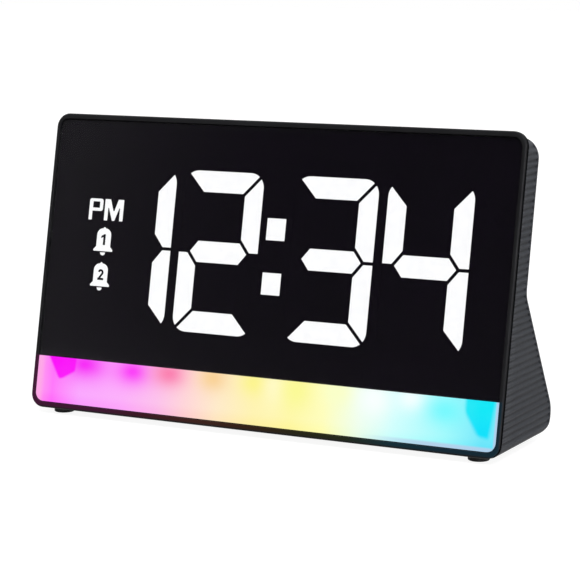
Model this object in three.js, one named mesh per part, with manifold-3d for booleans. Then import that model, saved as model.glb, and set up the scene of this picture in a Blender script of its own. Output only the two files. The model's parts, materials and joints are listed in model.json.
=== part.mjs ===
// A colour changing bedside alarm clock, in millimetres, +Z up.
// The origin is on the table, under the middle of the clock. +X is to the right of someone
// who reads the clock, and the face looks along -Y and leans back.
import * as THREE from "three";
import { mergeVertices } from "three/addons/utils/BufferGeometryUtils.js";
import Module from "manifold-3d";

const wasm = await Module();
wasm.setup();

// Driving sizes
const caseWidth = 190;
const faceHeight = 111.3; // along the leaning face
const caseDepth = 50.4;
const leanDegrees = 11.5;
const faceCorner = 5.2; // corner radius of the face
const wall = 2;
const footDrop = 2.05; // how far the rubber feet stand out of the underside
const fitGap = 0.3; // between pieces that fit into or rest on each other
const overrun = 0.6; // how far a cut or a joined boss runs past a face

// Front frame
const flangeDepth = 2.3;
const rimSide = 1.44;
const rimTop = 1.95;
const rimBottom = 2;
const rimProud = 0.5; // the rim stands this far in front of the lens
const plateThickness = 1.4;
const tongueWall = 2;
const tongueReach = 1.35; // behind the plate

// Lens and light bar
const lensThickness = 1;
const lightBarTop = 19.37; // along the face, from its bottom edge
const lightBarSideStep = 5.5; // the deep part of the bar lens is narrower by this
const lightBarStep = 1.6;
const trayDepth = 4.35;
const trayWall = 1.2;
const stripThickness = 1;
const stripLeds = 12;
const stripLedSize = 3.5;
const stripLedHeight = 0.7;

// Figures
const digitBottom = 33.17; // along the face
const digitTopMargin = 18.83; // from the top of the face to the top of a digit
const figuresLeftMargin = 21.27; // from the case's left side to the first digit's place
const figuresRightMargin = 17.4; // from the last digit to the case's right side
const digitCorner = 5.6;
const sideStroke = 7.55;
const crossStroke = 7.95;
const segmentGap = 1;
const tipInset = 4.6; // from a digit's side to the tip of its middle segment
const shoulderInset = 7.8;
const digitSpacing = 3.42;
const colonSpacing = 2.56;
const colonWidth = 7.77;
const colonDotHeight = 8.13;
const colonSpread = 9.8; // from a digit's middle to the middle of a dot
const indicatorMargin = 24.6; // from the case's left side to the middle of the indicators
const periodWidth = 15.3;
const periodHeight = 8.15;
const periodRise = 12.98; // above the figures' middle
const bellWidth = 8.5;
const bellHeight = 10.7;
const bellShoulder = 4;
const bellRises = [1.28, -11.87];
const displayMargin = 3.5;

// Display stack
const maskThickness = 1;
const sheetThickness = 0.8;
const sheetBorder = 1.1;
const reflectorBorder = 2;
const reflectorBack = 6; // behind the face
const boardThickness = 1.2;
const ledWidth = 2.8;
const ledHeight = 0.9;

// Case screws and the display board's screws
const postRadius = 2.9;
const pilotRadius = 1.5;
const screwShankRadius = 1.2;
const screwHeadRadius = 2.6;
const screwHeadHeight = 1.4;
const bossRadius = 4.2;
const bossReach = 2.1; // from the back wall's inner face towards the front
const lowerCaseScrewRise = 5.5; // above the kink in the back
const upperCaseScrewDrop = 9.3; // below the top of the face
const lowerBoardScrew = 34; // along the face
const upperBoardScrewDrop = 27.3;
const boardTopDrop = 6.1;

// Housing
const housingInset = 0.4;
const housingCorner = 7.8; // radius of its upper corners, seen from the front
const housingGap = 0.5; // the dark line behind the front frame
const slimDepth = 13.85;
const slimHeight = 54.8; // down the face, from its top to where the back flares out
const kinkRadius = 6;
const backEdgeRadius = 2;
const heelRadius = 8;
const lowerEdgeRadius = 4.2;

// Buttons in the back
const buttonNames = ["alarm_1", "alarm_2", "time", "plus", "minus", "colour"];
const buttonPitch = 22;
const buttonRowDrop = 29.3; // below the top of the face
const buttonWidth = 12;
const buttonHeight = 7;
const buttonCorner = 3.4;
const buttonProud = 0.7;
const buttonLip = 0.9;
const lipThickness = 0.5;
const buttonTravel = 0.5;
const switchSize = 4.5;
const plungerRadius = 1;
const plungerHeight = 0.3;

// Snooze bar
const snoozeLength = 70;
const snoozeWidth = 4.2;
const snoozeMiddle = 7.5; // behind the face
const snoozeProud = 0.3;
const snoozeLip = 0.7;
const snoozeTravel = 0.8;
const snoozeLegSpread = 25;
const snoozeLegWidth = 3;
const snoozeLegDepth = 1.6;
const snoozeSwitchWidth = 6;
const snoozeSwitchHeight = 3;
const snoozeSwitchDepth = 2.3;
const snoozeSwitchDrop = 11.9; // from the top of the face to the switch's underside

// Feet
const footRadius = 4.1;
const footChamfer = 0.4;
const footRecess = 0.9;
const footInset = 10.3; // from the case's side to a foot's middle
const footFront = 8;
const footRearInset = 12.9; // from the back of the case

// Main board and what it carries
const mainBoardFront = 17.5;
const mainBoardBackInset = 7.1; // from the back of the case
const mainBoardSideInset = 21; // from the case's right side
const mainBoardFromSpeaker = 21; // from the speaker's middle
const mainBoardHeight = 7.6; // above the underside
const mainBossRadius = 2.6;
const mainBossInset = 3.2;
const chipWidth = 9;
const chipHeight = 1.2;
const chipFromLeft = 28; // from the board's left side
const crystalWidth = 8;
const crystalDepth = 3;
const crystalHeight = 2.6;
const crystalFromLeft = 18;
const capacitorRadius = 3.15;
const capacitorHeight = 11;
const capacitorRim = 0.5;
const capacitorFromJack = 16;
const componentRowInset = 11; // from the board's back edge
const connectorWidth = 16;
const connectorDepth = 4;
const connectorHeight = 3.2;
const mainConnectorInset = 5.5; // from the board's front edge
const displayConnectorBottom = 25; // along the face
const ribbonWidth = 13;
const ribbonThickness = 0.5;
const ribbonBend = 6;

// DC inlet
const jackInset = 35; // from the case's right side
const jackWidth = 9;
const jackHeight = 11;
const jackLength = 14.2;
const jackAxisHeight = 6.5; // above the jack's base
const jackBore = 3.2;
const jackBoreDepth = 9.5;
const jackPinRadius = 1.05;
const jackPinRecess = 1.5;
const inletRadius = 5;
const inletWall = 1.5;

// Speaker
const speakerInset = 32; // from the case's left side
const speakerRadius = 11.5;
const speakerRim = 2;
const speakerDepth = 3.2;
const speakerBack = 1;
const coneThickness = 0.5;
const coneDrop = 1.3;
const magnetRadius = 6;
const magnetHeight = 2.6;
const magnetHole = 2;
const speakerRingWall = 1.2;
const speakerRingHeight = 2.4;
const soundSlots = 5;
const soundSlotWidth = 1.3;
const soundSlotPitch = 3;
const soundSlotLength = 13;
const soundSlotEndShare = 0.47; // corner radius over the slot's width

// Back-up cell and the battery door
const cellOffset = 1; // to the left of the main board's middle
const cellRadius = 10;
const cellHeight = 3.2;
const cellStep = 0.5; // height of the smaller negative cap
const cellStepInset = 1.2;
const cellLift = 0.8; // from the door's inner face to the cell
const holderWall = 1.4;
const holderCeiling = 0.8;
const contactThickness = 0.3;
const contactWidth = 3;
const contactLength = 12;
const cellClearance = 0.9;
const doorThickness = 1.6;
const doorBorder = 1.8;
const doorTab = 9; // the screw's end of the door
const doorCorner = 1.5;
const hatchMargin = 0.5;
const hatchRim = 1.8;
const hatchLedge = 1;
const doorScrewHeadRadius = 2.1;
const doorScrewHeadHeight = 1;
const doorScrewSlotWidth = 0.55;
const doorScrewSlotDepth = 0.25;
const doorScrewShankRadius = 1.1;
const doorScrewLength = 4.5;
const doorScrewBossRadius = 2.8;
const doorScrewBossHeight = 2.2;

// How finely round shapes are cut
const arcSteps = 2;
const roundSides = 16;
const fineSides = 24;
const mergeDistance = 1e-4;

// The frame's tongue fits inside the housing's walls.
const tongueInset = housingInset + wall + fitGap;
const tongueCorner = housingCorner - wall - fitGap;

const lean = THREE.MathUtils.degToRad(leanDegrees);
const sinLean = Math.sin(lean);
const cosLean = Math.cos(lean);

// Two frames hold the pieces. In the panel's frame, x runs to the right, y into the clock at a
// right angle to the face, and z up the face from its bottom edge. In the base's frame, z = 0 is
// the clock's underside and y = 0 is the bottom edge of the face.
const faceLift = flangeDepth * sinLean;
const panelInBase = new THREE.Matrix4().makeRotationX(-lean).setPosition(0, 0, faceLift);

// Depths behind the face, from the front to the back
const lensFront = rimProud;
const lensBack = lensFront + lensThickness;
const recessDepth = lensBack + fitGap;
const plateBack = recessDepth + plateThickness;
const tongueBack = plateBack + tongueReach;
const maskBack = recessDepth + maskThickness;
const sheetFront = maskBack + fitGap;
const sheetBack = sheetFront + sheetThickness;
const reflectorFront = plateBack + fitGap;
const boardFront = reflectorBack + fitGap;
const boardBack = boardFront + boardThickness;
const housingFront = flangeDepth + housingGap;
const backWallInside = slimDepth - wall;
const lipBack = backWallInside - fitGap;
const lipFront = lipBack - lipThickness;

// Heights along the face
const tongueTop = faceHeight - tongueInset;
const tongueBottom = clearOfFloor(tongueBack);
const kinkHeight = faceHeight - slimHeight;
const digitHeight = faceHeight - digitTopMargin - digitBottom;
const figuresMiddle = digitBottom + digitHeight / 2;
const periodMiddle = figuresMiddle + periodRise;
const bellMiddles = bellRises.map((rise) => figuresMiddle + rise);
const caseScrewHeights = [kinkHeight + lowerCaseScrewRise, faceHeight - upperCaseScrewDrop];
const boardScrewHeights = [lowerBoardScrew, faceHeight - upperBoardScrewDrop];
const boardTop = faceHeight - boardTopDrop;
const buttonRow = faceHeight - buttonRowDrop;
const snoozeSwitchBottom = faceHeight - snoozeSwitchDrop;
const boardBottom = lightBarTop + stripThickness + 2 * fitGap;
const topWallOutside = faceHeight - housingInset;
const topWallInside = topWallOutside - wall;

// Places across the face
const postX = caseWidth / 2 - tongueInset - tongueWall - fitGap - postRadius;
const digitWidth = widthOfDigit();
const figuresRight = caseWidth / 2 - figuresRightMargin;
const figureLefts = placeFigures();
const indicatorCentre = indicatorMargin - caseWidth / 2;
const displayLeft = indicatorCentre - periodWidth / 2 - displayMargin;
const displayRight = figuresRight + displayMargin;
const displayBottom = digitBottom - displayMargin;
const displayTop = digitBottom + digitHeight + displayMargin;

// Places in the base's frame
const footSpread = caseWidth / 2 - footInset;
const footRear = caseDepth - footRearInset;
const jackX = caseWidth / 2 - jackInset;
const speakerAt = { x: speakerInset - caseWidth / 2, y: caseDepth - heelRadius - speakerRadius };
const mainBoard = {
  left: speakerAt.x + mainBoardFromSpeaker,
  right: caseWidth / 2 - mainBoardSideInset,
  front: mainBoardFront,
  back: caseDepth - mainBoardBackInset,
};
const componentRow = mainBoard.back - componentRowInset;
const chipAt = { x: mainBoard.left + chipFromLeft, y: componentRow };
const crystalAt = { x: mainBoard.left + crystalFromLeft, y: componentRow };
const capacitorAt = { x: jackX - capacitorFromJack, y: componentRow };
const mainConnectorY = mainBoard.front + mainConnectorInset;
const cellAt = {
  x: (mainBoard.left + mainBoard.right) / 2 - cellOffset,
  y: (boardBack + caseDepth - wall) / 2,
};

// Heights in the base's frame
const mainBoardTop = mainBoardHeight + boardThickness;
const componentBase = mainBoardTop + fitGap;
const jackAxis = componentBase + jackAxisHeight;
const jackMouth = backOfFlare(componentBase + jackHeight, wall) - fitGap;
const jackBack = jackMouth - jackLength;
const doorTop = doorThickness;
const hatchTop = doorTop + fitGap + hatchLedge;
const holderBottom = hatchTop + fitGap;
const holderTop = mainBoardHeight - fitGap;
const cellBottom = doorTop + cellLift;
const cellTop = cellBottom + cellHeight;

// The height along the face above which a piece that reaches this deep clears the floor.
function clearOfFloor(depth) {
  return (wall + fitGap - faceLift + depth * sinLean) / cosLean;
}

// Four digits' places share the room that the colon, the spaces and the margins leave.
function widthOfDigit() {
  const margins = figuresLeftMargin + figuresRightMargin;
  const spaces = 2 * digitSpacing + 2 * colonSpacing + colonWidth;
  return (caseWidth - margins - spaces) / 4;
}

// The left side of each digit and of the colon, worked out from the right.
function placeFigures() {
  const minuteUnits = figuresRight - digitWidth;
  const minuteTens = minuteUnits - digitSpacing - digitWidth;
  const colon = minuteTens - colonSpacing - colonWidth;
  const hourUnits = colon - colonSpacing - digitWidth;
  const hourTens = hourUnits - digitSpacing - digitWidth;
  return { hourTens, hourUnits, colon, minuteTens, minuteUnits };
}

// Shapes

// A closed outline through anticlockwise corners [x, y, radius], each rounded by its own radius.
function roundedOutline(corners) {
  const shape = new THREE.Shape();
  corners.forEach(([x, y, radius], i) => {
    const here = new THREE.Vector2(x, y);
    if (radius <= 0) {
      if (i === 0) shape.moveTo(x, y);
      else shape.lineTo(x, y);
      return;
    }
    const before = new THREE.Vector2(...corners.at(i - 1)).sub(here).normalize();
    const after = new THREE.Vector2(...corners[(i + 1) % corners.length]).sub(here).normalize();
    const half = Math.acos(THREE.MathUtils.clamp(before.dot(after), -1, 1)) / 2;
    const middle = before.clone().add(after).normalize();
    const centre = here.clone().addScaledVector(middle, radius / Math.sin(half));
    const reach = radius / Math.tan(half);
    const start = here.clone().addScaledVector(before, reach).sub(centre).angle();
    const end = here.clone().addScaledVector(after, reach).sub(centre).angle();
    const hollow = before.cross(after) > 0;
    if (i > 0) shape.lineTo(centre.x + radius * Math.cos(start), centre.y + radius * Math.sin(start));
    shape.absarc(centre.x, centre.y, radius, start, end, hollow);
  });
  shape.closePath();
  return shape;
}

function rectangle(left, right, bottom, top, upperRadius = 0, lowerRadius = upperRadius) {
  return roundedOutline([
    [left, bottom, lowerRadius],
    [right, bottom, lowerRadius],
    [right, top, upperRadius],
    [left, top, upperRadius],
  ]);
}

function centred(x, y, width, height, upperRadius = 0, lowerRadius = upperRadius) {
  const [halfWidth, halfHeight] = [width / 2, height / 2];
  return rectangle(x - halfWidth, x + halfWidth, y - halfHeight, y + halfHeight, upperRadius, lowerRadius);
}

function extruded(outline, length) {
  return new THREE.ExtrudeGeometry(outline, {
    depth: length,
    bevelEnabled: false,
    curveSegments: arcSteps,
  });
}

// An outline in x and z, given thickness along y from near to far.
function plate(outline, near, far) {
  return extruded(outline, far - near)
    .translate(0, 0, -far)
    .rotateX(Math.PI / 2);
}

// An outline in y and z, given length along x from left to right.
function bar(outline, left, right) {
  const turn = new THREE.Matrix4().makeBasis(
    new THREE.Vector3(0, 1, 0),
    new THREE.Vector3(0, 0, 1),
    new THREE.Vector3(1, 0, 0),
  );
  return extruded(outline, right - left)
    .translate(0, 0, left)
    .applyMatrix4(turn);
}

// An outline in x and y, given height along z from low to high.
function slab(outline, low, high) {
  return extruded(outline, high - low).translate(0, 0, low);
}

function block(left, right, front, back, low, high) {
  return slab(rectangle(left, right, front, back), low, high);
}

// A round bar along z at (x, y), from low to high.
function post(radius, x, y, low, high, sides = roundSides) {
  return new THREE.CylinderGeometry(radius, radius, high - low, sides)
    .rotateX(Math.PI / 2)
    .translate(x, y, (low + high) / 2);
}

// A round bar along y at (x, z), from near to far.
function pin(radius, x, z, near, far, sides = roundSides) {
  return new THREE.CylinderGeometry(radius, radius, far - near, sides).translate(x, 0, z)
    .translate(0, (near + far) / 2, 0);
}

// A profile [radius, height] turned about z.
function turned(profile, sides = fineSides) {
  const points = profile.map(([radius, height]) => new THREE.Vector2(radius, height));
  return new THREE.LatheGeometry(points, sides).rotateX(Math.PI / 2);
}

// Solids

function solidOf(shape) {
  if (!shape.isBufferGeometry) return shape;
  const bare = shape.clone();
  bare.deleteAttribute("normal");
  bare.deleteAttribute("uv");
  const merged = mergeVertices(bare, mergeDistance);
  const triangles = [];
  for (let i = 0; i < merged.index.count; i += 3) {
    const corners = [0, 1, 2].map((step) => merged.index.getX(i + step));
    // Merging can leave a triangle without area, which is no part of a closed surface.
    if (new Set(corners).size === corners.length) triangles.push(...corners);
  }
  return new wasm.Manifold(
    new wasm.Mesh({
      numProp: 3,
      vertProperties: new Float32Array(merged.attributes.position.array),
      triVerts: new Uint32Array(triangles),
    }),
  );
}

function join(...shapes) {
  return shapes.map(solidOf).reduce((whole, part) => whole.add(part));
}

function cut(shape, ...cutters) {
  return cutters.map(solidOf).reduce((whole, cutter) => whole.subtract(cutter), solidOf(shape));
}

function common(...shapes) {
  return shapes.map(solidOf).reduce((whole, part) => whole.intersect(part));
}

function geometryOf(shape) {
  if (shape.isBufferGeometry) return shape;
  const { vertProperties, triVerts } = shape.getMesh();
  const geometry = new THREE.BufferGeometry();
  geometry.setAttribute("position", new THREE.BufferAttribute(vertProperties, 3));
  geometry.setIndex(new THREE.BufferAttribute(triVerts, 1));
  return geometry;
}

// Finishes: colour, roughness, metalness
const finishes = {
  satinBlack: [0x18181b, 0.35, 0],
  smokedLens: [0x08080a, 0.06, 0],
  frosted: [0xf1ecf6, 0.4, 0],
  charcoal: [0x2c2e33, 0.6, 0],
  mattBlack: [0x101012, 0.8, 0],
  opal: [0xf7f8fb, 0.5, 0],
  white: [0xe9e9e6, 0.6, 0],
  boardGreen: [0x1c5a38, 0.5, 0],
  plating: [0xc9ccd1, 0.25, 1],
  screwBlack: [0x2a2a2d, 0.4, 1],
  rubber: [0x141416, 0.9, 0],
  chip: [0x1b1b1e, 0.5, 0],
  cone: [0x3a352f, 0.85, 0],
  magnet: [0x5b5d61, 0.4, 1],
  ribbon: [0xb9bcc2, 0.6, 0],
};

function piece(name, shape, finish) {
  const [color, roughness, metalness] = finishes[finish];
  const material = new THREE.MeshStandardMaterial({ color, roughness, metalness, flatShading: true });
  const mesh = new THREE.Mesh(geometryOf(shape), material);
  mesh.name = name;
  return mesh;
}

// Both signs of x, for pieces that come in pairs
const sides = [
  ["left", -1],
  ["right", 1],
];

// The front of the clock, in the panel's frame

function lensRecess() {
  const side = caseWidth / 2 - rimSide;
  const corner = faceCorner - rimSide;
  return plate(
    rectangle(-side, side, rimBottom, faceHeight - rimTop, corner),
    -overrun,
    recessDepth,
  );
}

function tongueOutline(inset) {
  const side = caseWidth / 2 - tongueInset - inset;
  return rectangle(-side, side, tongueBottom + inset, tongueTop - inset, tongueCorner - inset);
}

// The deep part of the light bar's lens, or the opening round it.
function barWindow(grow) {
  const side = caseWidth / 2 - rimSide - fitGap - lightBarSideStep + grow;
  const low = rimBottom + fitGap + lightBarStep - grow;
  return rectangle(-side, side, low, lightBarTop - lightBarStep + grow);
}

function displayOutline(grow) {
  return rectangle(displayLeft - grow, displayRight + grow, displayBottom - grow, displayTop + grow);
}

function frontFrame() {
  const side = caseWidth / 2;
  const flange = plate(rectangle(-side, side, 0, faceHeight, faceCorner), 0, flangeDepth);
  const inner = plate(tongueOutline(0), flangeDepth / 2, tongueBack);
  const hollow = plate(tongueOutline(tongueWall), plateBack, tongueBack + overrun);
  const posts = [];
  const pilots = [];
  for (const x of [-postX, postX]) {
    for (const [heights, end] of [[caseScrewHeights, backWallInside - bossReach - fitGap],
      [boardScrewHeights, boardFront - fitGap]]) {
      for (const height of heights) {
        posts.push(pin(postRadius, x, height, plateBack - overrun, end));
        pilots.push(pin(pilotRadius, x, height, plateBack, end + overrun));
      }
    }
  }
  const shell = cut(
    join(flange, inner),
    hollow,
    lensRecess(),
    plate(displayOutline(fitGap), 0, plateBack + overrun),
    plate(barWindow(fitGap), 0, plateBack + overrun),
  );
  return piece("front_frame", cut(join(shell, ...posts), ...pilots), "satinBlack");
}

function displayLens() {
  const side = caseWidth / 2 - rimSide - fitGap;
  const top = faceHeight - rimTop - fitGap;
  const corner = faceCorner - rimSide - fitGap;
  const outline = rectangle(-side, side, lightBarTop + fitGap, top, corner, 0);
  return piece("display_lens", plate(outline, lensFront, lensBack), "smokedLens");
}

function lightBarLens() {
  const side = caseWidth / 2 - rimSide - fitGap;
  const corner = faceCorner - rimSide - fitGap;
  const outline = rectangle(-side, side, rimBottom + fitGap, lightBarTop, 0, corner);
  const front = plate(outline, lensFront, lensBack);
  const deep = plate(barWindow(0), lensBack - overrun, plateBack);
  return piece("light_bar_lens", join(front, deep), "frosted");
}

// Figures

// Where the slanted gap at a digit's corner meets the rounded corner: [along the stroke's width,
// along its length], from the digit's sharp corner.
function cornerTip(stroke, otherStroke, gap, radius) {
  const rise = otherStroke / stroke;
  const drop = (gap / 2) * Math.hypot(1, rise);
  const offset = drop - radius;
  const square = 1 + rise * rise;
  const linear = 2 * (rise * offset - radius);
  const across = (-linear - Math.sqrt(linear * linear - 4 * square * offset * offset)) / (2 * square);
  return [across, drop + rise * across, drop];
}

// The seven segments of a digit about its middle, grown on every side by grow.
function segmentOutlines(grow) {
  const right = digitWidth / 2 + grow;
  const top = digitHeight / 2 + grow;
  const side = sideStroke + 2 * grow;
  const cross = crossStroke + 2 * grow;
  const gap = segmentGap - 2 * grow;
  const radius = digitCorner + grow;
  const slope = crossStroke / 2 / (shoulderInset - tipInset);
  const slant = Math.hypot(1, slope);
  const tip = grow + tipInset - (grow * slant) / slope;
  const knee = tip + (gap / 2 - gap * slant) / slope;
  const shoulder = (side - tip) * slope + gap * slant;
  const centre = [right - radius, top - radius];
  const [sideAcross, sideAlong, sideDrop] = cornerTip(side, cross, gap, radius);
  const [crossAcross, crossAlong, crossDrop] = cornerTip(cross, side, gap, radius);
  const sideTip = Math.atan2(top - sideAlong - centre[1], right - sideAcross - centre[0]);
  const crossTip = Math.atan2(top - crossAcross - centre[1], right - crossAlong - centre[0]);

  const upright = new THREE.Shape();
  upright.moveTo(right - knee, gap / 2);
  upright.lineTo(right, gap / 2);
  upright.absarc(centre[0], centre[1], radius, 0, sideTip, false);
  upright.lineTo(right - side, top - cross - sideDrop);
  upright.lineTo(right - side, shoulder);
  upright.closePath();

  const level = new THREE.Shape();
  level.moveTo(side + crossDrop - right, top - cross);
  level.lineTo(right - side - crossDrop, top - cross);
  level.absarc(centre[0], centre[1], radius, crossTip, Math.PI / 2, false);
  level.absarc(-centre[0], centre[1], radius, Math.PI / 2, Math.PI - crossTip, false);
  level.closePath();

  const end = tip + cross / 2 / slope;
  const middle = new THREE.Shape();
  middle.moveTo(tip - right, 0);
  middle.lineTo(end - right, -cross / 2);
  middle.lineTo(right - end, -cross / 2);
  middle.lineTo(right - tip, 0);
  middle.lineTo(right - end, cross / 2);
  middle.lineTo(end - right, cross / 2);
  middle.closePath();
  return { upright, level, middle };
}

// Each segment: its outline, and the signs that mirror it across the digit.
const segmentTable = {
  a: ["level", 1, 1],
  b: ["upright", 1, 1],
  c: ["upright", 1, -1],
  d: ["level", 1, -1],
  e: ["upright", -1, -1],
  f: ["upright", -1, 1],
  g: ["middle", 1, 1],
};

const axes = 3;
const cornersPerFace = 3;

// A mirrored geometry has its faces turned round again.
function mirrored(geometry, signX, signZ) {
  geometry.scale(signX, 1, signZ);
  if (signX * signZ > 0) return geometry;
  const { array } = geometry.attributes.position;
  for (let face = 0; face < array.length; face += cornersPerFace * axes) {
    for (let axis = 0; axis < axes; axis += 1) {
      const [second, third] = [face + axes + axis, face + 2 * axes + axis];
      [array[second], array[third]] = [array[third], array[second]];
    }
  }
  return geometry;
}

function digitSegments(names, left, grow, near, far) {
  const outlines = segmentOutlines(grow);
  return [...names].map((name) => {
    const [outline, signX, signZ] = segmentTable[name];
    return mirrored(plate(outlines[outline], near, far), signX, signZ)
      .translate(left + digitWidth / 2, 0, figuresMiddle);
  });
}

function colonDots(grow, near, far) {
  const x = figureLefts.colon + colonWidth / 2;
  return [-1, 1].map((sign) => plate(
    centred(x, figuresMiddle + sign * colonSpread, colonWidth + 2 * grow, colonDotHeight + 2 * grow),
    near,
    far,
  ));
}

function indicatorPads(grow, near, far) {
  const period = centred(
    indicatorCentre, periodMiddle, periodWidth + 2 * grow, periodHeight + 2 * grow,
  );
  const bells = bellMiddles.map((middle) => centred(
    indicatorCentre, middle, bellWidth + 2 * grow, bellHeight + 2 * grow, bellShoulder, 0,
  ));
  return [period, ...bells].map((outline) => plate(outline, near, far));
}

// The lit pieces: name, left side, segments ("1" is only the two on the right)
const digits = [
  ["hour_tens_diffuser", figureLefts.hourTens, "bc"],
  ["hour_units_diffuser", figureLefts.hourUnits, "abcdefg"],
  ["minute_tens_diffuser", figureLefts.minuteTens, "abcdefg"],
  ["minute_units_diffuser", figureLefts.minuteUnits, "abcdefg"],
];

function figureWindows(grow, near, far) {
  return [
    ...digits.flatMap(([, left, names]) => digitSegments(names, left, grow, near, far)),
    ...colonDots(grow, near, far),
    ...indicatorPads(grow, near, far),
  ];
}

// A thin sheet behind the mask, from left to right and bottom to top, with raised pads in front.
function diffuser(name, [left, right, bottom, top], pads) {
  const outline = rectangle(
    left - sheetBorder, right + sheetBorder, bottom - sheetBorder, top + sheetBorder,
  );
  return piece(name, join(plate(outline, sheetFront, sheetBack), ...pads), "opal");
}

function diffusers() {
  const reach = [recessDepth, sheetBack - sheetThickness / 2];
  const made = digits.map(([name, left, names]) => {
    const start = names === "bc" ? left + digitWidth - sideStroke : left;
    const span = [start, left + digitWidth, digitBottom, digitBottom + digitHeight];
    return diffuser(name, span, digitSegments(names, left, 0, ...reach));
  });
  const dotReach = colonSpread + colonDotHeight / 2;
  const colonSpan = [
    figureLefts.colon,
    figureLefts.colon + colonWidth,
    figuresMiddle - dotReach,
    figuresMiddle + dotReach,
  ];
  const indicatorSpan = [
    indicatorCentre - periodWidth / 2,
    indicatorCentre + periodWidth / 2,
    Math.min(...bellMiddles) - bellHeight / 2,
    periodMiddle + periodHeight / 2,
  ];
  return [
    ...made,
    diffuser("colon_diffuser", colonSpan, colonDots(0, ...reach)),
    diffuser("indicator_diffuser", indicatorSpan, indicatorPads(0, ...reach)),
  ];
}

function displayMask() {
  const sheet = plate(displayOutline(0), recessDepth, maskBack);
  const windows = figureWindows(fitGap, recessDepth - overrun, maskBack + overrun);
  return piece("display_mask", cut(sheet, ...windows), "mattBlack");
}

function displayReflector() {
  const body = plate(displayOutline(reflectorBorder), reflectorFront, reflectorBack);
  const pocket = plate(displayOutline(fitGap), reflectorFront - overrun, sheetBack + fitGap);
  const cavities = figureWindows(0, sheetBack, reflectorBack + overrun);
  return piece("display_reflector", cut(body, pocket, ...cavities), "white");
}

// The middle of each segment, about the middle of its digit.
const segmentMiddles = {
  a: [0, digitHeight / 2 - crossStroke / 2],
  b: [digitWidth / 2 - sideStroke / 2, digitHeight / 4],
  c: [digitWidth / 2 - sideStroke / 2, -digitHeight / 4],
  d: [0, crossStroke / 2 - digitHeight / 2],
  e: [sideStroke / 2 - digitWidth / 2, -digitHeight / 4],
  f: [sideStroke / 2 - digitWidth / 2, digitHeight / 4],
  g: [0, 0],
};

function displayLeds() {
  const spots = digits.flatMap(([, left, names]) => [...names].map((name) => {
    const [x, z] = segmentMiddles[name];
    return [left + digitWidth / 2 + x, figuresMiddle + z];
  }));
  for (const sign of [-1, 1]) {
    spots.push([figureLefts.colon + colonWidth / 2, figuresMiddle + sign * colonSpread]);
  }
  for (const middle of [periodMiddle, ...bellMiddles]) spots.push([indicatorCentre, middle]);
  return spots.map(([x, z]) => plate(
    centred(x, z, ledWidth, ledWidth), boardFront - ledHeight, boardFront + boardThickness / 2,
  ));
}

function displayBoard() {
  const side = caseWidth / 2 - tongueInset - tongueWall - fitGap;
  const sheet = plate(rectangle(-side, side, boardBottom, boardTop), boardFront, boardBack);
  const connector = plate(
    rectangle(
      -connectorWidth / 2, connectorWidth / 2,
      displayConnectorBottom, displayConnectorBottom + connectorDepth,
    ),
    boardBack - boardThickness / 2,
    boardBack + connectorHeight - overrun,
  );
  const holes = [-postX, postX].flatMap((x) => [
    ...caseScrewHeights.map((z) => pin(postRadius + fitGap, x, z, boardFront - overrun, boardBack + overrun)),
    ...boardScrewHeights.map((z) => pin(pilotRadius, x, z, boardFront - overrun, boardBack + overrun)),
  ]);
  const notches = [-1, 1].flatMap((sign) => caseScrewHeights.map((z) => {
    const [near, far] = [sign * postX, sign * (side + overrun)];
    const half = postRadius + fitGap;
    return plate(
      rectangle(Math.min(near, far), Math.max(near, far), z - half, z + half),
      boardFront - overrun,
      boardBack + overrun,
    );
  }));
  const board = cut(sheet, ...holes, ...notches);
  return piece("display_board", join(board, connector, ...displayLeds()), "boardGreen");
}

// The light bar's tray and board, behind its lens

function lightBarTray() {
  const side = caseWidth / 2 - tongueInset - tongueWall - 2 * fitGap;
  const back = reflectorFront + trayDepth;
  const low = tongueBottom + tongueWall + fitGap;
  const high = lightBarTop - fitGap;
  const corner = tongueCorner - tongueWall;
  const body = plate(rectangle(-side, side, low, high, 0, corner), reflectorFront, back);
  const hollow = plate(
    rectangle(trayWall - side, side - trayWall, low + trayWall, high + overrun),
    reflectorFront - overrun,
    back - trayWall,
  );
  return piece("light_bar_tray", cut(body, hollow), "white");
}

function lightBarBoard() {
  const side = caseWidth / 2 - tongueInset - tongueWall - 2 * fitGap;
  const low = lightBarTop;
  const high = low + stripThickness;
  const strip = plate(rectangle(-side, side, low, high), reflectorFront, reflectorFront + trayDepth);
  const pitch = (2 * side - 2 * stripLedSize) / stripLeds;
  const middle = reflectorFront + (trayDepth - trayWall) / 2;
  const leds = Array.from({ length: stripLeds }, (_, i) => {
    const x = (i - (stripLeds - 1) / 2) * pitch;
    const half = stripLedSize / 2;
    return plate(
      rectangle(x - half, x + half, low - stripLedHeight, low + stripThickness / 2),
      middle - stripLedSize / 4,
      middle + stripLedSize / 4,
    );
  });
  return piece("light_bar_board", join(strip, ...leds), "boardGreen");
}

// Screws that run along y, with the head's outer face at the back

function screwAlongY(name, x, z, tip, headFront) {
  const shank = pin(screwShankRadius, x, z, tip, headFront + screwHeadHeight / 2);
  const head = pin(screwHeadRadius, x, z, headFront, headFront + screwHeadHeight);
  const slot = plate(
    centred(x, z, 2 * screwShankRadius, screwShankRadius / 2),
    headFront + screwHeadHeight / 2,
    headFront + screwHeadHeight + overrun,
  );
  const cross = plate(
    centred(x, z, screwShankRadius / 2, 2 * screwShankRadius),
    headFront + screwHeadHeight / 2,
    headFront + screwHeadHeight + overrun,
  );
  return piece(name, cut(join(shank, head), slot, cross), "screwBlack");
}

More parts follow.
